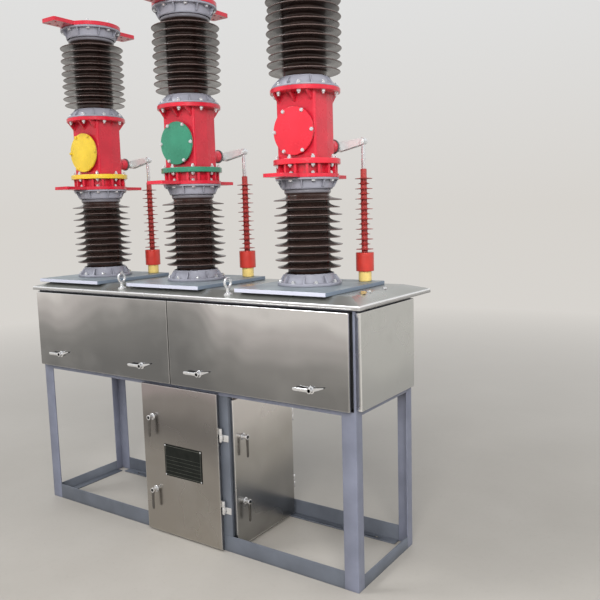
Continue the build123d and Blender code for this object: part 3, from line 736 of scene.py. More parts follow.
# Dark chrome for the hanging lever grips: its darkness paints the dark surroundings that they mirror, a
# painted reflection.
CHROME_PAINTED_DARK = plated("lever_chrome_painted_dark", (0.20, 0.19, 0.18), 0.16)
BRIGHT = galvanised("bright_galvanised", (0.90, 0.96, 0.96), 0.42)
GLAZE = glaze("brown_glaze")
ROD = moulded("rod_red", (0.44, 0.055, 0.050), 0.38, coat=0.1)
CAP_RED = moulded("rain_cup_red", (0.70, 0.055, 0.040), 0.35, coat=0.2)
GUIDE = moulded("guide_yellow", (0.98, 0.74, 0.25), 0.3, 0.08, 0.3)
BLACK = moulded("black_plate", (0.010, 0.012, 0.010), 0.55, shine=0.2)
RULES = moulded("plate_rules", (0.13, 0.13, 0.11), 0.5)
RUBBER = moulded("rubber", (0.018, 0.018, 0.020), 0.6)


# Porcelain

CORE = 0.098
SHEDS = 10
SHED_PITCH = 0.0334
COLLAR = 2

# Points of one shed: share of its depth, distance past that, height above its rim, nearness to the rim
SHED = (
    (0, 0, -0.004, 0), (0, 0.003, 0.001, 0), (0, 0.010, 0.0022, 0), (0.5, 0, 0.0016, 0.05),
    (1, -0.007, 0.0004, 0.15), (1, -0.0025, 0, 0.7), (1, -0.0006, 0.0012, 1), (1, 0, 0.0026, 1),
    (1, -0.0009, 0.0042, 1), (1, -0.0035, 0.0054, 0.5), (1, -0.011, 0.0068, 0.1), (0.45, 0, 0.0108, 0),
    (0.2, 0, 0.0148, 0), (0, 0.004, 0.0186, 0), (0, 0, 0.0235, 0))


def shed_profile(bottom, height, big, small, first, shoulder):
    """Profile of a shedded porcelain: radius, height, and how near to a rim, or that it is the collar."""
    profile = [(0, bottom, 0), (CORE - 0.004, bottom, 0), (CORE, bottom + 0.004, 0)]
    for step in range(SHEDS):
        under = bottom + first + step * SHED_PITCH
        depth = (big if step % 2 else small) - CORE
        profile += [(CORE + depth * share + past, under + rise, mark) for share, past, rise, mark in SHED]
    top = bottom + height
    profile += [(CORE, top - 0.023, 0), (CORE + (shoulder - CORE) * 0.7, top - 0.018, 0),
                (shoulder, top - 0.013, COLLAR), (shoulder, top - 0.003, COLLAR),
                (shoulder - 0.003, top, COLLAR), (0, top, COLLAR)]
    return profile


def porcelain(name, pole, profile, node):
    """One shedded porcelain, with its rims and its collar marked for the glaze."""
    shape = lathe([point[:2] for point in profile], 96)
    axis = pole_axes[pole]
    thing = piece(name, shifted(shape, *axis), GLAZE, "porcelain", replaces=(node,), smooth=60)
    rim = thing.data.attributes.new("rim", "FLOAT", "POINT")
    collar = thing.data.attributes.new("collar", "FLOAT", "POINT")
    marks = {(round(radius, 5), round(height, 5)): mark for radius, height, mark in profile}
    for index, vert in enumerate(thing.data.vertices):
        radius = math.hypot(vert.co.x - axis.x, vert.co.y - axis.y)
        mark = marks.get((round(radius, 5), round(vert.co.z, 5)), 0.0)
        rim.data[index].value = 0.0 if mark == COLLAR else mark
        collar.data[index].value = 1.0 if mark == COLLAR else 0.0


def make_porcelain():
    lower = shed_profile(lower_low, lower_high - lower_low, 0.156, 0.146, 0.025, 0.106)
    upper = shed_profile(upper_low, upper_high - upper_low, 0.167, 0.160, 0.021, 0.121)
    for pole in POLES:
        porcelain(f"lower_porcelain_{pole}", pole, lower, f"lower_insulator_{pole}")
        porcelain(f"upper_porcelain_{pole}", pole, upper, f"upper_insulator_{pole}")


# Castings of the poles

# Sides of the cast flanges and of their ribs, as shares of the rise above the rim and of the spread
# beyond the narrow end
FLARE = ((0.0, 0.34), (0.55, 0.10), (1.0, 0.0))
CUP = ((0.0, 0.24), (0.85, 0.12), (1.0, 0.0))
BELL = ((0.0, 0.46), (0.35, 0.35), (0.75, 0.17), (1.0, 0.0))
STRAIGHT_RIBS = ((0.0, 0.92), (0.80, 0.32))
ROUND_RIBS = ((0.0, 0.96), (0.12, 0.88), (0.30, 0.74), (0.48, 0.57), (0.64, 0.41), (0.80, 0.24), (0.92, 0.10))


def cast_flange(rim_z, tip_z, rim, wide, narrow, rib_start, side, ribs):
    """Flange with a rim, a drawn-in side up to the porcelain and eight upright ribs."""
    lean = 1 if tip_z > rim_z else -1
    foot = rim_z + rim * lean

    def along(shares):
        return [(narrow + (wide - narrow) * share, foot + (tip_z - foot) * rise) for rise, share in shares]

    corners = [(narrow - 0.006, rim_z), (wide, rim_z), (wide, foot), *along(side), (narrow - 0.006, tip_z)]
    shapes = [lathe(rounded(corners, 0.003, 3), 96, True)]
    edge = along(ribs)
    low = foot - 0.002 * lean
    rib_side = [(narrow - 0.01, low), (edge[0][0], low), *edge[1:], (narrow - 0.01, edge[-1][1])]
    rib = upright(plate(rib_side, -0.003, 0.003))
    for count in range(BOLTS):
        shapes.append(turned_z(rib, rib_start + 2 * math.pi * count / BOLTS))
    return joined(shapes)


def terminal(low, high, radius, reach):
    """Round plate with a drilled tab to the front and to the back."""
    half = 0.0525
    start = math.acos(half / radius)
    outline = arc_points((0, 0), radius, -start, start, 28)
    outline += [(half, reach), (-half, reach)]
    outline += arc_points((0, 0), radius, math.pi - start, math.pi + start, 28)
    outline += [(-half, -reach), (half, -reach)]
    outline = rounded(outline, 0.014, 4)
    holes = [(x, side * (reach - 0.030 - back), 0.007)
             for side in (-1, 1) for back in (0, 0.050) for x in (-0.025, 0.025)]
    return plate(outline, low, high, holes)


def spacer():
    """Drum with upright ribs between the lower terminal and the phase ring."""
    low = terminals_low + TERMINAL_THICK
    ribs, inner, outer, half = 16, 0.10, 0.114, 0.006
    shapes = [lathe([(inner, low), (outer, low), (outer, ring_low), (inner, ring_low)], 64, True)]
    rib = block((inner, -half, low), (0.138, half, ring_low))
    for count in range(ribs):
        shapes.append(turned_z(rib, 2 * math.pi * (count + 0.5) / ribs))
    return joined(shapes)


def housing():
    """Mechanism casting: body drawn in to the back, round flange, gussets, crank boss and cover neck."""
    half_x, half_y, rear_x, bend_y = 0.103, HOUSING_HALF_DEPTH, 0.096, 0.013
    top = housing_high - HOUSING_FLANGE
    corners = [(-half_x, -half_y), (half_x, -half_y), (half_x, bend_y), (rear_x, half_y), (-rear_x, half_y),
               (-half_x, bend_y)]
    shapes = [plate(rounded(corners, 0.013, 32), housing_low, top + 0.001),
              tube(0.157, 0.08, top, housing_high, 0.003, 96)]
    gusset = [(-half_y + 0.002, top + 0.002), (-half_y - 0.037, top + 0.002), (-half_y - 0.036, top - 0.004),
              (-half_y - 0.003, top - 0.040), (-half_y + 0.002, top - 0.042)]
    wedge = moved(plate(gusset, -0.0045, 0.0045), OUTWARD["right"])
    for turn in (0, math.pi):
        for x in (-0.086, 0.0, 0.086):
            shapes.append(turned_z(shifted(wedge, x), turn))
    bore, boss, root, end = 0.0135, 0.030, 0.041, BOSS_REACH - 0.008
    outline = [(bore, 0.04), (root, 0.07), (root, half_y + 0.006), (boss, half_y + 0.022), (boss, end),
               (bore, end)]
    shapes.append(shifted(along_y(lathe(rounded(outline, 0.002, 3), 96, True)), BOSS_X, 0, boss_z))
    neck = spun([(0.0, 0.080), (0.096, 0.080), (0.096, COVER_NECK), (0.0, COVER_NECK)], 0.001, 96)
    shapes.append(shifted(upright(neck), 0, 0, cover_z))
    return joined(shapes)


def boss_rim():
    """Dark collar at the end of the crank boss."""
    collar = tube(0.034, 0.0135, BOSS_REACH - 0.009, BOSS_REACH, 0.0015)
    return shifted(along_y(collar), BOSS_X, 0, boss_z)


def cover():
    """Round inspection cover on the neck at the front of the housing."""
    return shifted(upright(disc(0.104, 0, COVER_THICK, 0.0020, 96)), 0, -COVER_NECK, cover_z)


def pole_bolts():
    """Nuts and heads of the flanged joints of one pole; each row is a fastener and its place."""
    turn = math.pi / BOLTS
    head, nut, tall_nut = bolt_head(FLANGE_BOLT), bolt_nut(FLANGE_BOLT), bolt_nut(FLANGE_BOLT, stud=0.45)
    short_nut = bolt_nut(FLANGE_BOLT, stud=0.15)
    rows = (
        (nut, BOLT_CIRCLE, 0, plate_top + 0.0135, False),
        (head, BOLT_CIRCLE - 0.003, 0, terminals_low - 0.010, True),
        (short_nut, BOLT_CIRCLE - 0.008, 0, terminals_low + TERMINAL_THICK, False),
        (tall_nut, BOLT_CIRCLE + 0.002, 0, ring_high, False),
        (nut, BOLT_CIRCLE - 0.002, 0, ring_low, True),
        (nut, BOLT_CIRCLE + 0.005, turn, housing_high + 0.0085, False),
        (tall_nut, BOLT_CIRCLE + 0.005, turn, housing_high - HOUSING_FLANGE, True),
        (head, TOP_BOLT_CIRCLE, 0, flanges_top - 0.010, True),
    )
    return joined([around(shape, BOLTS, *place) for shape, *place in rows])


def cover_bolts():
    """Heads around the inspection cover."""
    heads = []
    for step in range(COVER_BOLTS):
        angle = 2 * math.pi * step / COVER_BOLTS
        across, rise = COVER_BOLT_CIRCLE * math.cos(angle), COVER_BOLT_CIRCLE * math.sin(angle)
        head = upright(bolt_head(COVER_BOLT, step))
        heads.append(shifted(head, across, -(COVER_NECK + COVER_THICK), cover_z + rise))
    return joined(heads)


def make_poles():
    half_turn = math.pi / BOLTS
    flange_shape = joined([
        cast_flange(plate_top, lower_low, 0.014, 0.147, 0.112, half_turn, FLARE, STRAIGHT_RIBS),
        cast_flange(terminals_low, lower_high, 0.010, 0.143, 0.113, half_turn, CUP, STRAIGHT_RIBS),
        cast_flange(housing_high, upper_low, 0.009, 0.151, 0.111, 0.0, BELL, ROUND_RIBS),
        cast_flange(flanges_top, upper_high, 0.010, 0.158, 0.126, half_turn, CUP, STRAIGHT_RIBS)])
    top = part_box("terminals_left")[1].z
    terminal_shape = joined([terminal(terminals_low, terminals_low + TERMINAL_THICK, 0.145, 0.268),
                             terminal(flanges_top, top, 0.158, 0.275), spacer()])
    ring_shape = tube(0.152, 0.09, ring_low, ring_high, 0.0025, 96)
    housing_shape, rim_shape, cover_shape = housing(), boss_rim(), cover()
    bolts, cover_heads = pole_bolts(), cover_bolts()
    nuts = around(bolt_nut(FLANGE_BOLT, stud=0.2), BOLTS, TOP_BOLT_CIRCLE, 0, top)
    top_nuts = []
    for pole in POLES:
        at = pole_axes[pole]
        phase = PHASE[pole], PHASE_SLOT[pole]
        piece(f"castings_{pole}", shifted(flange_shape, *at), CAST, "cast_grey",
              replaces=(f"flanges_{pole}",), bevel=0.0012)
        piece(f"terminal_plates_{pole}", shifted(terminal_shape, *at), RED, "signal_red",
              replaces=(f"terminals_{pole}",), bevel=0.0015)
        piece(f"ring_{pole}", shifted(ring_shape, *at), *phase, replaces=(f"phase_ring_{pole}",))
        piece(f"mechanism_housing_{pole}", shifted(housing_shape, *at), RED, "signal_red",
              replaces=(f"housing_{pole}",), bevel=0.002, smooth=5)
        piece(f"boss_collar_{pole}", shifted(rim_shape, *at), DARK, "cast_grey")
        piece(f"cover_{pole}", shifted(cover_shape, *at), *phase, replaces=(f"phase_cover_{pole}",))
        piece(f"pole_bolts_{pole}", shifted(bolts, *at), ZINC, "zinc")
        if pole == "left":
            piece("painted_cover_bolts", shifted(cover_heads, *at), *phase)
        else:
            piece(f"cover_bolts_{pole}", shifted(cover_heads, *at), ZINC, "zinc")
        top_nuts.append(shifted(nuts, *at))
    piece("top_nuts", joined(top_nuts), ZINC, "zinc", replaces=("top_bolts",))


# Linkage

LEVER = 0.128
LEVER_TILT = math.radians(8.5)
ROD_Y = 0.203
GUIDE_RADIUS = 0.0305


def tapered(near, far, length, steps=14):
    """Outline around two circles of different size."""
    lean = math.acos((near - far) / length)
    outline = arc_points((0, 0), near, lean, 2 * math.pi - lean, steps * 2)
    return outline + arc_points((length, 0), far, -lean, lean, steps)


def lever():
    """Forked lever on its shaft, drawn level, with its pin, washers and split pin."""
    arm = upright(plate(tapered(0.021, 0.014, LEVER), -0.0035, 0.0035))
    washer = along_y(disc(0.0135, -0.0009, 0.0009, 0.0003, 28))
    hub_washer = along_y(disc(0.0155, -0.0009, 0.0009, 0.0003, 28))
    clip = spun([(0.0, -0.012), (0.0012, -0.012), (0.0012, 0.012), (0.0, 0.012)], 0.0004, 10)
    shapes = [along_y(disc(0.0205, -0.0168, 0.0168, 0.002, 36)),
              along_y(disc(0.0128, -0.091, 0.0, 0.001, 32)),
              shifted(along_y(disc(0.0078, -0.0215, 0.0215, 0.001, 24)), LEVER),
              shifted(clip, LEVER, -0.0202),
              shifted(along_y(bolt_nut(0.022, stud=0.1)), 0, 0.0168)]
    for side in (-1, 1):
        shapes += [shifted(arm, 0, side * 0.0135), shifted(washer, LEVER, side * 0.0181),
                   shifted(hub_washer, 0, side * 0.0181)]
    return joined(shapes)


def rod_profile(top, bottom):
    """Red rod with its thin sheds, from the metal end down into the cup."""
    body, big, small, pitch = 0.0145, 0.041, 0.027, 0.0232
    profile = [(0, top), (body - 0.002, top), (body, top - 0.002)]
    for step in range(16):
        rim = top - 0.043 - step * pitch
        radius = small if step % 2 else big
        profile += [(body, rim + 0.006), (body + 0.003, rim + 0.0022), (radius - 0.004, rim + 0.0004),
                    (radius - 0.0006, rim - 0.0004), (radius, rim - 0.0013), (radius - 0.0008, rim - 0.0024),
                    (radius - 0.004, rim - 0.0028), (body + 0.002, rim - 0.0034), (body, rim - 0.006)]
    profile += [(body, bottom), (0, bottom)]
    return profile


def make_linkage():
    pin_z = boss_z + LEVER * math.sin(LEVER_TILT)
    tilt = Matrix.Translation((BOSS_X, ROD_Y, boss_z)) @ Matrix.Rotation(-LEVER_TILT, 4, "Y")
    lever_shape = moved(lever(), tilt)
    eye = along_y(tube(0.0165, 0.0092, -0.009, 0.009, 0.0012, 36))
    neck = spun([(0, -0.012), (0.0078, -0.012), (0.0078, -0.028), (0.0095, -0.031), (0.0095, -0.047),
                 (0.0098, -0.049), (0.0098, -0.130), (0, -0.130)], 0.0012, 32)
    lock_nut = shifted(hexagon_head(0.0185, 0.009, 0.3), z=-0.062)
    end = shifted(joined([eye, neck, lock_nut]), z=pin_z)
    cup_low = plate_top + 0.048
    cup_high = cup_low + 0.087
    red = lathe(rod_profile(pin_z - 0.124, cup_high - 0.006), 64)
    inner, outer, crown = 0.037, 0.042, cup_high - 0.012
    cup = [(0.012, crown), (inner, crown), (inner, cup_low), (outer, cup_low), (outer, cup_high),
           (0.012, cup_high)]
    cup_shape = lathe(rounded(cup, 0.002, 3), 64, True)
    tail = disc(0.010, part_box("pull_rod_left")[0].z, cup_high - 0.005, 0.001, 28)
    guide_shape = tube(GUIDE_RADIUS, 0.0122, plate_top, plate_top + 0.075, 0.0035, 56)
    guides = []
    rod_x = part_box("rod_guides")[0].x + GUIDE_RADIUS - pole_axes["left"].x
    for pole in POLES:
        axis = pole_axes[pole]
        at = axis.x + rod_x, axis.y + ROD_Y
        body = f"pull_rod_{pole}"
        piece(f"forked_lever_{pole}", shifted(lever_shape, *axis), BRIGHT, "zinc", f"lever_{pole}",
              (f"lever_{pole}",), 0.0012)
        piece(f"shedded_rod_{pole}", shifted(red, *at), ROD, "rod_red", body, (body,), smooth=50)
        piece(f"rain_cup_{pole}", shifted(cup_shape, *at), CAP_RED, "rod_red", body, smooth=50)
        piece(f"rod_end_{pole}", shifted(end, *at), ZINC, "zinc", body, smooth=40)
        piece(f"rod_tail_{pole}", shifted(tail, *at), ZINC, "zinc", body)
        guides.append(shifted(guide_shape, *at))
    piece("guides", joined(guides), GUIDE, "guide_yellow", replaces=("rod_guides",))


# Roof and box

def make_roof():
    low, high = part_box("roof")
    lip_top = low.z + 0.017
    border = 0.092
    outer = (low.x, high.x, low.y, high.y)
    inner = (low.x + border, high.x - border, low.y + border, high.y - border)
    shape = pan([(*outer, low.z), (*outer, lip_top), (*inner, high.z)], (48, 14), 0.0014, 3.0, 0.35)
    piece("roof_pan", shape, ROOF, "stainless", replaces=("roof",), bevel=0.0035, sheet=0.0025, smooth=12)
    plain = ((0.3, 0.954, 0.064), (0.8, 0.953, -0.075), (0.1, -0.954, 0.064), (0.5, -0.953, -0.075))
    yellow = ((0.2, 0.954, -0.130), (0.6, -0.954, -0.130))
    for name, material, across, places in (("roof_bolts", ZINC, FLANGE_BOLT, plain),
                                           ("yellow_roof_bolts", YELLOW_ZINC, FLANGE_BOLT * 1.3, yellow)):
        heads = [shifted(bolt_head(across, turn), x, y, high.z) for turn, x, y in places]
        piece(name, joined(heads), material, "zinc")


def make_plates():
    low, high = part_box("base_plates")
    left = low.x - pole_axes["left"].x
    right = high.x - pole_axes["right"].x
    axes = [pole_axes[pole].x for pole in POLES]
    shapes = [block((x + left, low.y, low.z), (x + right, high.y, high.z)) for x in axes]
    piece("pole_plates", joined(shapes), PLATE, "plate_paint", replaces=("base_plates",), bevel=0.002)


EYE_RADIUS = 0.026
EYE_COLLAR = 0.020


def eye_ring(rise):
    """Forged ring on a shank with a collar; its seat is at Z = 0 and the ring's middle at the rise."""
    outer, inner, thick = EYE_RADIUS, 0.016, 0.013
    ring_radius = (outer + inner) / 2
    angles = [2 * math.pi * step / 14 for step in range(14)]
    section = [(ring_radius + (outer - inner) / 2 * math.cos(angle), thick / 2 * math.sin(angle))
               for angle in angles]
    ring = moved(lathe(section, 40, True), Matrix.Rotation(math.radians(90), 4, "Y"))
    neck = rise - outer + 0.004
    shank = spun([(0, -0.006), (EYE_COLLAR, -0.006), (EYE_COLLAR, 0.006), (0.014, 0.008), (0.0095, 0.012),
                  (0.0080, neck - 0.008), (0.0105, neck), (0, neck)], 0.001, 32)
    return joined([shifted(ring, z=rise), shank])


def make_eyes():
    low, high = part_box("eye_bolts")
    seat = low.z + 0.0056
    ring = eye_ring(high.z - EYE_RADIUS - seat)
    y = (low.y + high.y) / 2
    shapes = [shifted(ring, x, y, seat) for x in (low.x + EYE_COLLAR, high.x - EYE_COLLAR)]
    piece("lifting_eyes", joined(shapes), ZINC, "zinc", replaces=("eye_bolts",), smooth=50)


def gasket_and_shadow_gap(low, high, seat, outward):
    """Rubber strip that shows round a sheet tray on the front or back of the box; its black also stands for
    the shadow gap along the tray's edges, as painted shade.
    """
    margin, thick, wide = 0.0035, 0.004, 0.012
    y_low, y_high = sorted((seat, seat + outward * thick))
    bars = [block((low.x - margin, y_low, z), (high.x + margin, y_high, z + wide))
            for z in (low.z - margin, high.z + margin - wide)]
    bars += [block((x, y_low, low.z), (x + wide, y_high, high.z))
             for x in (low.x - margin, high.x + margin - wide)]
    return joined(bars)


def sheet_piece(name, shape, material, node):
    """Folded sheet of the box."""
    piece(name, shape, material, "stainless", replaces=(node,), bevel=0.0030, sheet=0.002)


def make_panels():
    cells, dent = (36, 16), 0.0016
    strips = []
    for side, seed in (("left", 1.3), ("right", 8.1)):
        node = f"front_panel_{side}"
        low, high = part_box(node)
        strips.append(gasket_and_shadow_gap(low, high, high.y, -1))
        sheet_piece(f"panel_{side}", wall_pan(low, high, "front", cells, dent, seed), PANEL, node)
    low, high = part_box("rear_panels")
    half_seam = 0.002
    rear = []
    for x_low, x_high, seed in ((low.x, -half_seam, 4.4), (half_seam, high.x, 5.7)):
        near, far = Vector((x_low, low.y, low.z)), Vector((x_high, high.y, high.z))
        rear.append(wall_pan(near, far, "rear", cells, dent, seed))
        strips.append(gasket_and_shadow_gap(near, far, low.y, 1))
    sheet_piece("back_panels", joined(rear), PANEL, "rear_panels")
    piece("panel_gaskets", joined(strips), RUBBER, "nameplate_black")


def make_ends():
    low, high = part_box("end_covers")
    depth, inset, set_back = 0.026, 0.024, 0.0052
    right = wall_pan((high.x - depth, low.y, low.z), high, "right", (16, 16), 0.0018, 2.2)
    left = wall_pan(low, (low.x + depth, high.y, high.z), "left", (16, 16), 0.0018, 6.2)
    sheet_piece("box_ends", joined([right, left]), END, "end_covers")
    screws = []
    head = joined([disc(0.010, 0, 0.0012, 0.0004, 20), shifted(disc(0.006, 0, 0.0040, 0.0015, 18), z=0.0008)])
    for side, x in ((1, high.x - set_back), (-1, low.x + set_back)):
        sideways = moved(head, Matrix.Rotation(side * math.radians(90), 4, "Y"))
        for y in (low.y + inset, high.y - inset):
            for z in (low.z + inset, high.z - inset):
                screws.append(shifted(sideways, x, y, z))
    piece("end_screws", joined(screws), ZINC, "zinc")


# Stations of a latch lever: height as a share of its length, half width, depth behind its face, thickness
LEVER_STATIONS = (
    (0.087, 0.0050, 0.0090, 0.0090), (0.02, 0.0085, 0.0093, 0.0093), (-0.20, 0.0080, 0.0088, 0.0085),
    (-0.51, 0.0072, 0.0068, 0.0063), (-0.80, 0.0080, 0.0062, 0.0056), (-0.94, 0.0072, 0.0064, 0.0054),
    (-1.0, 0.0040, 0.0060, 0.0040))
DOOR_LEVER = 0.098
DOOR_PROUD = 0.030


def handle_fittings(proud):
    """Rosette, stem and cap of a latch handle on a wall that faces the front."""
    rosette = spun([(0, 0), (0.017, 0), (0.0165, 0.0025), (0.013, 0.004), (0, 0.004)], 0.0008, 36)
    stem = spun([(0, 0), (0.0105, 0), (0.0095, 0.010), (0.0095, proud - 0.002), (0.0085, proud), (0, proud)],
                0.001, 28)
    cap = spun([(0, proud - 0.010), (0.0125, proud - 0.010), (0.0125, proud), (0, proud)], 0.0012, 28)
    return upright(joined([rosette, stem, cap]))


def handle_lever(proud, length):
    """Lever of a latch handle, hanging down; its section is a rounded oblong."""
    section = []
    for step in range(16):
        angle = math.pi * step / 8
        section.append([math.copysign(abs(part) ** 0.7, part) for part in (math.cos(angle), math.sin(angle))])
    rings = []
    for share, half, depth, thick in LEVER_STATIONS:
        middle_y = -(proud - depth + thick / 2)
        rings.append([(half * across, middle_y + thick / 2 * deep, share * length)
                      for across, deep in section])
    return stacked(rings)


LATCH_PROUD = 0.020
LATCH_PLACES = (-0.800, -0.176, 0.204, 0.828)
LATCH_LEVER = 0.085
LATCH_HUB_SHIFT = LATCH_LEVER - DOOR_LEVER


def latch_tail():
    """Short tapering tail behind the hub of a panel latch, close to the sheet and a little raised."""
    half = [(0.0, 0.0085), (0.030, 0.0060), (0.068, 0.0020)]
    outline = [(x, -y) for x, y in half] + half[::-1]
    tail = upright(plate(rounded(outline, 0.002, 3), 0.005, 0.010))
    return moved(tail, Matrix.Rotation(math.radians(-14), 4, "Y"))


def make_latches():
    low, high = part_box("panel_latches")
    z = (low.z + high.z) / 2
    hanging = joined([handle_fittings(LATCH_PROUD), handle_lever(LATCH_PROUD, LATCH_LEVER)])
    lying = moved(hanging, Matrix.Rotation(math.radians(90), 4, "Y"))
    lying = shifted(joined([lying, latch_tail()]), x=LATCH_HUB_SHIFT)
    panel_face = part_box("front_panel_left")[0].y
    rear_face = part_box("rear_panels")[1].y
    shapes = []
    for x in LATCH_PLACES:
        shapes.append(shifted(lying, x, panel_face, z))
        shapes.append(shifted(turned_z(lying, math.pi), x, rear_face, z))
    piece("latches", joined(shapes), CHROME, "bright_fittings", replaces=("panel_latches",), smooth=50)


# Cabinet doors

FRONT_HINGES = (0.221, 0.573)
FRONT_HANDLES = (0.228, 0.602)
SIDE_HINGES = (0.190, 0.550)
SIDE_HANDLES = (0.236, 0.552)
DOOR_DEPTH = 0.015
KNUCKLE = 0.032
LEAF_HALF = 0.0014


def knuckle():
    """Upper half of a lift-off hinge, with its bore for the pin."""
    bore, outer = 0.0043, 0.0078
    under = KNUCKLE - 0.003
    corners = [(bore, 0), (outer, 0), (outer, KNUCKLE), (0, KNUCKLE), (0, under), (bore, under)]
    return lathe(rounded(corners, 0.0008, 2, False) + [(bore, 0)], 28)


def hinge_halves(hinge, heights, near, far):
    """Knuckles and leaves that turn with a door; a leaf lies between two corners in plan."""
    shapes = []
    for z in heights:
        shapes.append(shifted(knuckle(), hinge.x, hinge.y, z))
        shapes.append(block((*near, z), (*far, z + KNUCKLE)))
    return joined(shapes)


def hang_door(door, sheet, material, halves, turn, places):
    """Pieces of one door: its sheet, the hinge halves that turn with it and its latch handles."""
    piece(f"cabinet_{door}", sheet, material, "stainless", door, (door,), 0.0022, 0.002)
    piece(f"{door}_knuckles", halves, CHROME, "bright_fittings", door)
    for kind, shape, finish, replaced in (
            ("rosettes", handle_fittings(DOOR_PROUD), CHROME, (f"{door}_handles",)),
            ("levers", handle_lever(DOOR_PROUD, DOOR_LEVER), CHROME_PAINTED_DARK, ())):
        copies = [shifted(turned_z(shape, turn), *place) for place in places]
        piece(f"{door}_{kind}", joined(copies), finish, "bright_fittings", door, replaced, smooth=50)


def make_front_door():
    low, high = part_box("front_door")
    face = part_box("nameplate")[1].y
    hinge = joint_place("front_door_hinge")
    door_right = hinge.x - 0.013
    near, far = (low.x, face, low.z), (door_right, face + DOOR_DEPTH, high.z)
    sheet = wall_pan(near, far, "front", (20, 30), 0.0016, 9.6)
    halves = hinge_halves(hinge, FRONT_HINGES, (door_right - 0.001, hinge.y - LEAF_HALF),
                          (hinge.x, hinge.y + LEAF_HALF))
    x = middle("front_door_handles").x
    hang_door("front_door", sheet, DOOR, halves, 0, [(x, face, z) for z in FRONT_HANDLES])


def make_side_door():
    low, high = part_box("side_door")
    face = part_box("side_door_handles")[0].x
    hinge = joint_place("side_door_hinge")
    door_rear = hinge.y - 0.009
    near, far = (face - DOOR_DEPTH, low.y, low.z), (face, door_rear, high.z)
    sheet = wall_pan(near, far, "right", (18, 28), 0.0018, 12.6)
    halves = hinge_halves(hinge, SIDE_HINGES, (hinge.x - LEAF_HALF, door_rear - 0.001),
                          (hinge.x + LEAF_HALF, hinge.y))
    y = middle("side_door_handles").y
    hang_door("side_door", sheet, SIDE, halves, math.pi / 2, [(face, y, z) for z in SIDE_HANDLES])


def make_nameplate():
    """Bare black plate with a raised border, blank ruled fields and four screws."""
    low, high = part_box("nameplate")
    front = low.y
    base = front + 0.0006
    back = base + 0.0002
    rule, inset, heading, rows, corner = 0.0014, 0.007, 0.034, 6, 0.006
    left, right, bottom, top = low.x + inset, high.x - inset, low.z + inset, high.z - inset
    shapes = [block((left, front, z), (right, back, z + rule)) for z in (bottom, top - rule)]
    shapes += [block((x, front, bottom), (x + rule, back, top)) for x in (left, right - rule)]
    for row in range(1, rows):
        z = bottom + (top - heading - bottom) * row / rows
        shapes.append(block((left, front + 0.0002, z), (right, back, z + rule / 2)))
    piece("blank_plate", block((low.x, base, low.z), high), BLACK, "nameplate_black", "front_door",
          ("nameplate",), 0.0003)
    piece("blank_plate_rules", joined(shapes), RULES, "nameplate_black", "front_door")
    head = upright(disc(0.004, 0, 0.0022, 0.0011, 18))
    screws = [shifted(head, x, base, z)
              for x in (low.x + corner, high.x - corner) for z in (low.z + corner, high.z - corner)]
    piece("plate_screws", joined(screws), ZINC, "zinc", "front_door")


# Carried-over solids

def dress_frame():
    """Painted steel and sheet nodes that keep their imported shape."""
    for node in ("legs", "mid_rails", "top_rails", "roof_beams"):
        dress(node, STAND, 0.0016)
    # The bottom rails and the cabinet posts take the darker copy of the stand paint: painted shade.
    for node in ("bottom_rails", "cabinet_posts"):
        dress(node, STAND_SHADE, 0.0016)
    for node in ("box_floor", "cabinet_floor", "cabinet_top", "cabinet_left_wall", "cabinet_rear_wall",
                 "cabinet_right_wall"):
        dress(node, DOOR, 0.0006)
    dress("hinges", CHROME, 0.0006)


def dress(node, material, bevel):
    """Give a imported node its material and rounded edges."""
    thing = frame["nodes"][node]
    thing.data.materials.clear()
    thing.data.materials.append(material)
    finish_edges(thing, bevel, weld=True)


# Floor, light and camera

BACKDROP = (0.68, 0.655, 0.62)
SKY = (0.80, 0.82, 0.84)
LIGHT_LEVEL = 0.46


def make_floor():
    """Concrete floor that fades into the pale backdrop far from the object."""
    mesh = bpy.data.meshes.new("floor")
    half = 40.0
    corners = [(-half, -half, 0), (half, -half, 0), (half, half, 0), (-half, half, 0)]
    mesh.from_pydata(corners, [], [(0, 1, 2, 3)])
    floor = bpy.data.objects.new("floor", mesh)
    bpy.context.scene.collection.objects.link(floor)
    skin = Surface("floor_concrete")
    cloud = skin.spread(skin.cloud(0.9, 5.0, 0.6), 0.0, 1.0)
    base = skin.mixed(cloud, (0.44, 0.41, 0.365), (0.52, 0.49, 0.445))
    speck = skin.spread(skin.cloud(38.0, 5.0, 0.7), 0.0, 0.25, 0.55, 0.75)
    mesh.materials.append(skin.shaded({
        "Base Color": skin.mixed(speck, base, (0.36, 0.33, 0.29)),
        "Roughness": skin.spread(cloud, 0.42, 0.6, 0, 1),
        "Normal": skin.bump(skin.cloud(60.0, 4.0), 0.2, 0.002),
    }))
    strength = skin.spread(skin.looked_at(), 0.40, 1.0, 0, 1)
    glow = skin.add("Emission", {"Color": BACKDROP, "Strength": strength})
    far = skin.spread(skin.computed("VectorMath", "LENGTH", skin.place), 0.0, 1.0, 1.6, 8.0)
    mix = skin.blended(far, skin.nodes["Principled BSDF"].outputs[0], glow.outputs[0])
    skin.feed(skin.nodes["Material Output"].inputs["Surface"], mix)


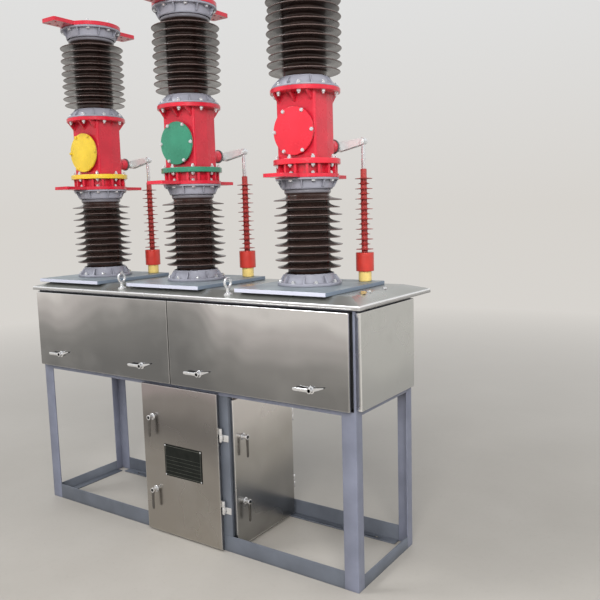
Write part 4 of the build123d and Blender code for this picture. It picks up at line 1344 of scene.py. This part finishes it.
def make_world():
    """Pale backdrop for the eye and for reflections, and a plain level of light from all round."""
    world = bpy.data.worlds.new("studio")
    bpy.context.scene.world = world
    sky = Graph(world)
    place = sky.add("TexCoord", {}).outputs["Generated"]
    height = sky.add("SeparateXYZ", {0: place}).outputs["Z"]
    ramp = sky.add("ValToRGB", {"Fac": height})
    for element, position, colour in zip(ramp.color_ramp.elements, (0.0, 0.5), (BACKDROP, SKY)):
        element.position = position
        element.color = (*colour, 1.0)
    shown = sky.add("Background", {"Color": ramp.outputs["Color"]})
    plain = sky.add("Background", {"Color": (0.93, 0.96, 1.0), "Strength": LIGHT_LEVEL})
    mix = sky.blended(sky.looked_at(), plain.outputs[0], shown.outputs[0])
    sky.feed(sky.nodes["World Output"].inputs["Surface"], mix)


def area_light(name, place, target, size, power, colour, mirrored=True):
    """Square lamp turned to a target; one that isn't mirrored stays out of reflections."""
    data = bpy.data.lights.new(name, "AREA")
    data.energy = power
    data.color = colour
    data.size = size
    light = bpy.data.objects.new(name, data)
    light.location = place
    light.rotation_euler = (Vector(target) - Vector(place)).to_track_quat("-Z", "Y").to_euler()
    light.visible_glossy = mirrored
    bpy.context.scene.collection.objects.link(light)


def make_lights():
    area_light("key", (3.0, -3.9, 3.2), (0.3, 0, 1.5), 2.6, 215, (1.0, 0.98, 0.96), False)
    area_light("fill", (5.5, 1.5, 3.6), (0, 0, 1.4), 3.0, 50, (0.95, 0.97, 1.0), False)
    area_light("roof_lights", (-3.0, -3.0, 6.5), (0, 0, 1.8), 2.0, 170, (0.97, 0.98, 1.0))


def make_camera():
    data = bpy.data.cameras.new("camera")
    data.lens = CAMERA_LENS
    data.sensor_width = 36.0
    data.shift_y = CAMERA_SHIFT_Y
    camera = bpy.data.objects.new("camera", data)
    level = Vector((-math.sin(CAMERA_YAW), math.cos(CAMERA_YAW), 0))
    up = Vector((0, 0, 1))
    right = Vector((math.cos(CAMERA_YAW), math.sin(CAMERA_YAW), 0))
    forward = level * math.cos(CAMERA_PITCH) - up * math.sin(CAMERA_PITCH)
    over = up * math.cos(CAMERA_PITCH) + level * math.sin(CAMERA_PITCH)
    camera_x = right * math.cos(CAMERA_ROLL) + over * math.sin(CAMERA_ROLL)
    camera_y = over * math.cos(CAMERA_ROLL) - right * math.sin(CAMERA_ROLL)
    turn = Matrix((camera_x, camera_y, -forward)).transposed().to_4x4()
    camera.matrix_world = Matrix.Translation(CAMERA_AT) @ turn
    bpy.context.scene.collection.objects.link(camera)
    bpy.context.scene.camera = camera


make_camera()
make_porcelain()
make_poles()
make_linkage()
make_roof()
make_plates()
make_eyes()
make_panels()
make_ends()
make_latches()
make_front_door()
make_side_door()
make_nameplate()
dress_frame()
make_floor()
make_world()
make_lights()

bpy.context.scene.view_settings.view_transform = "Standard"
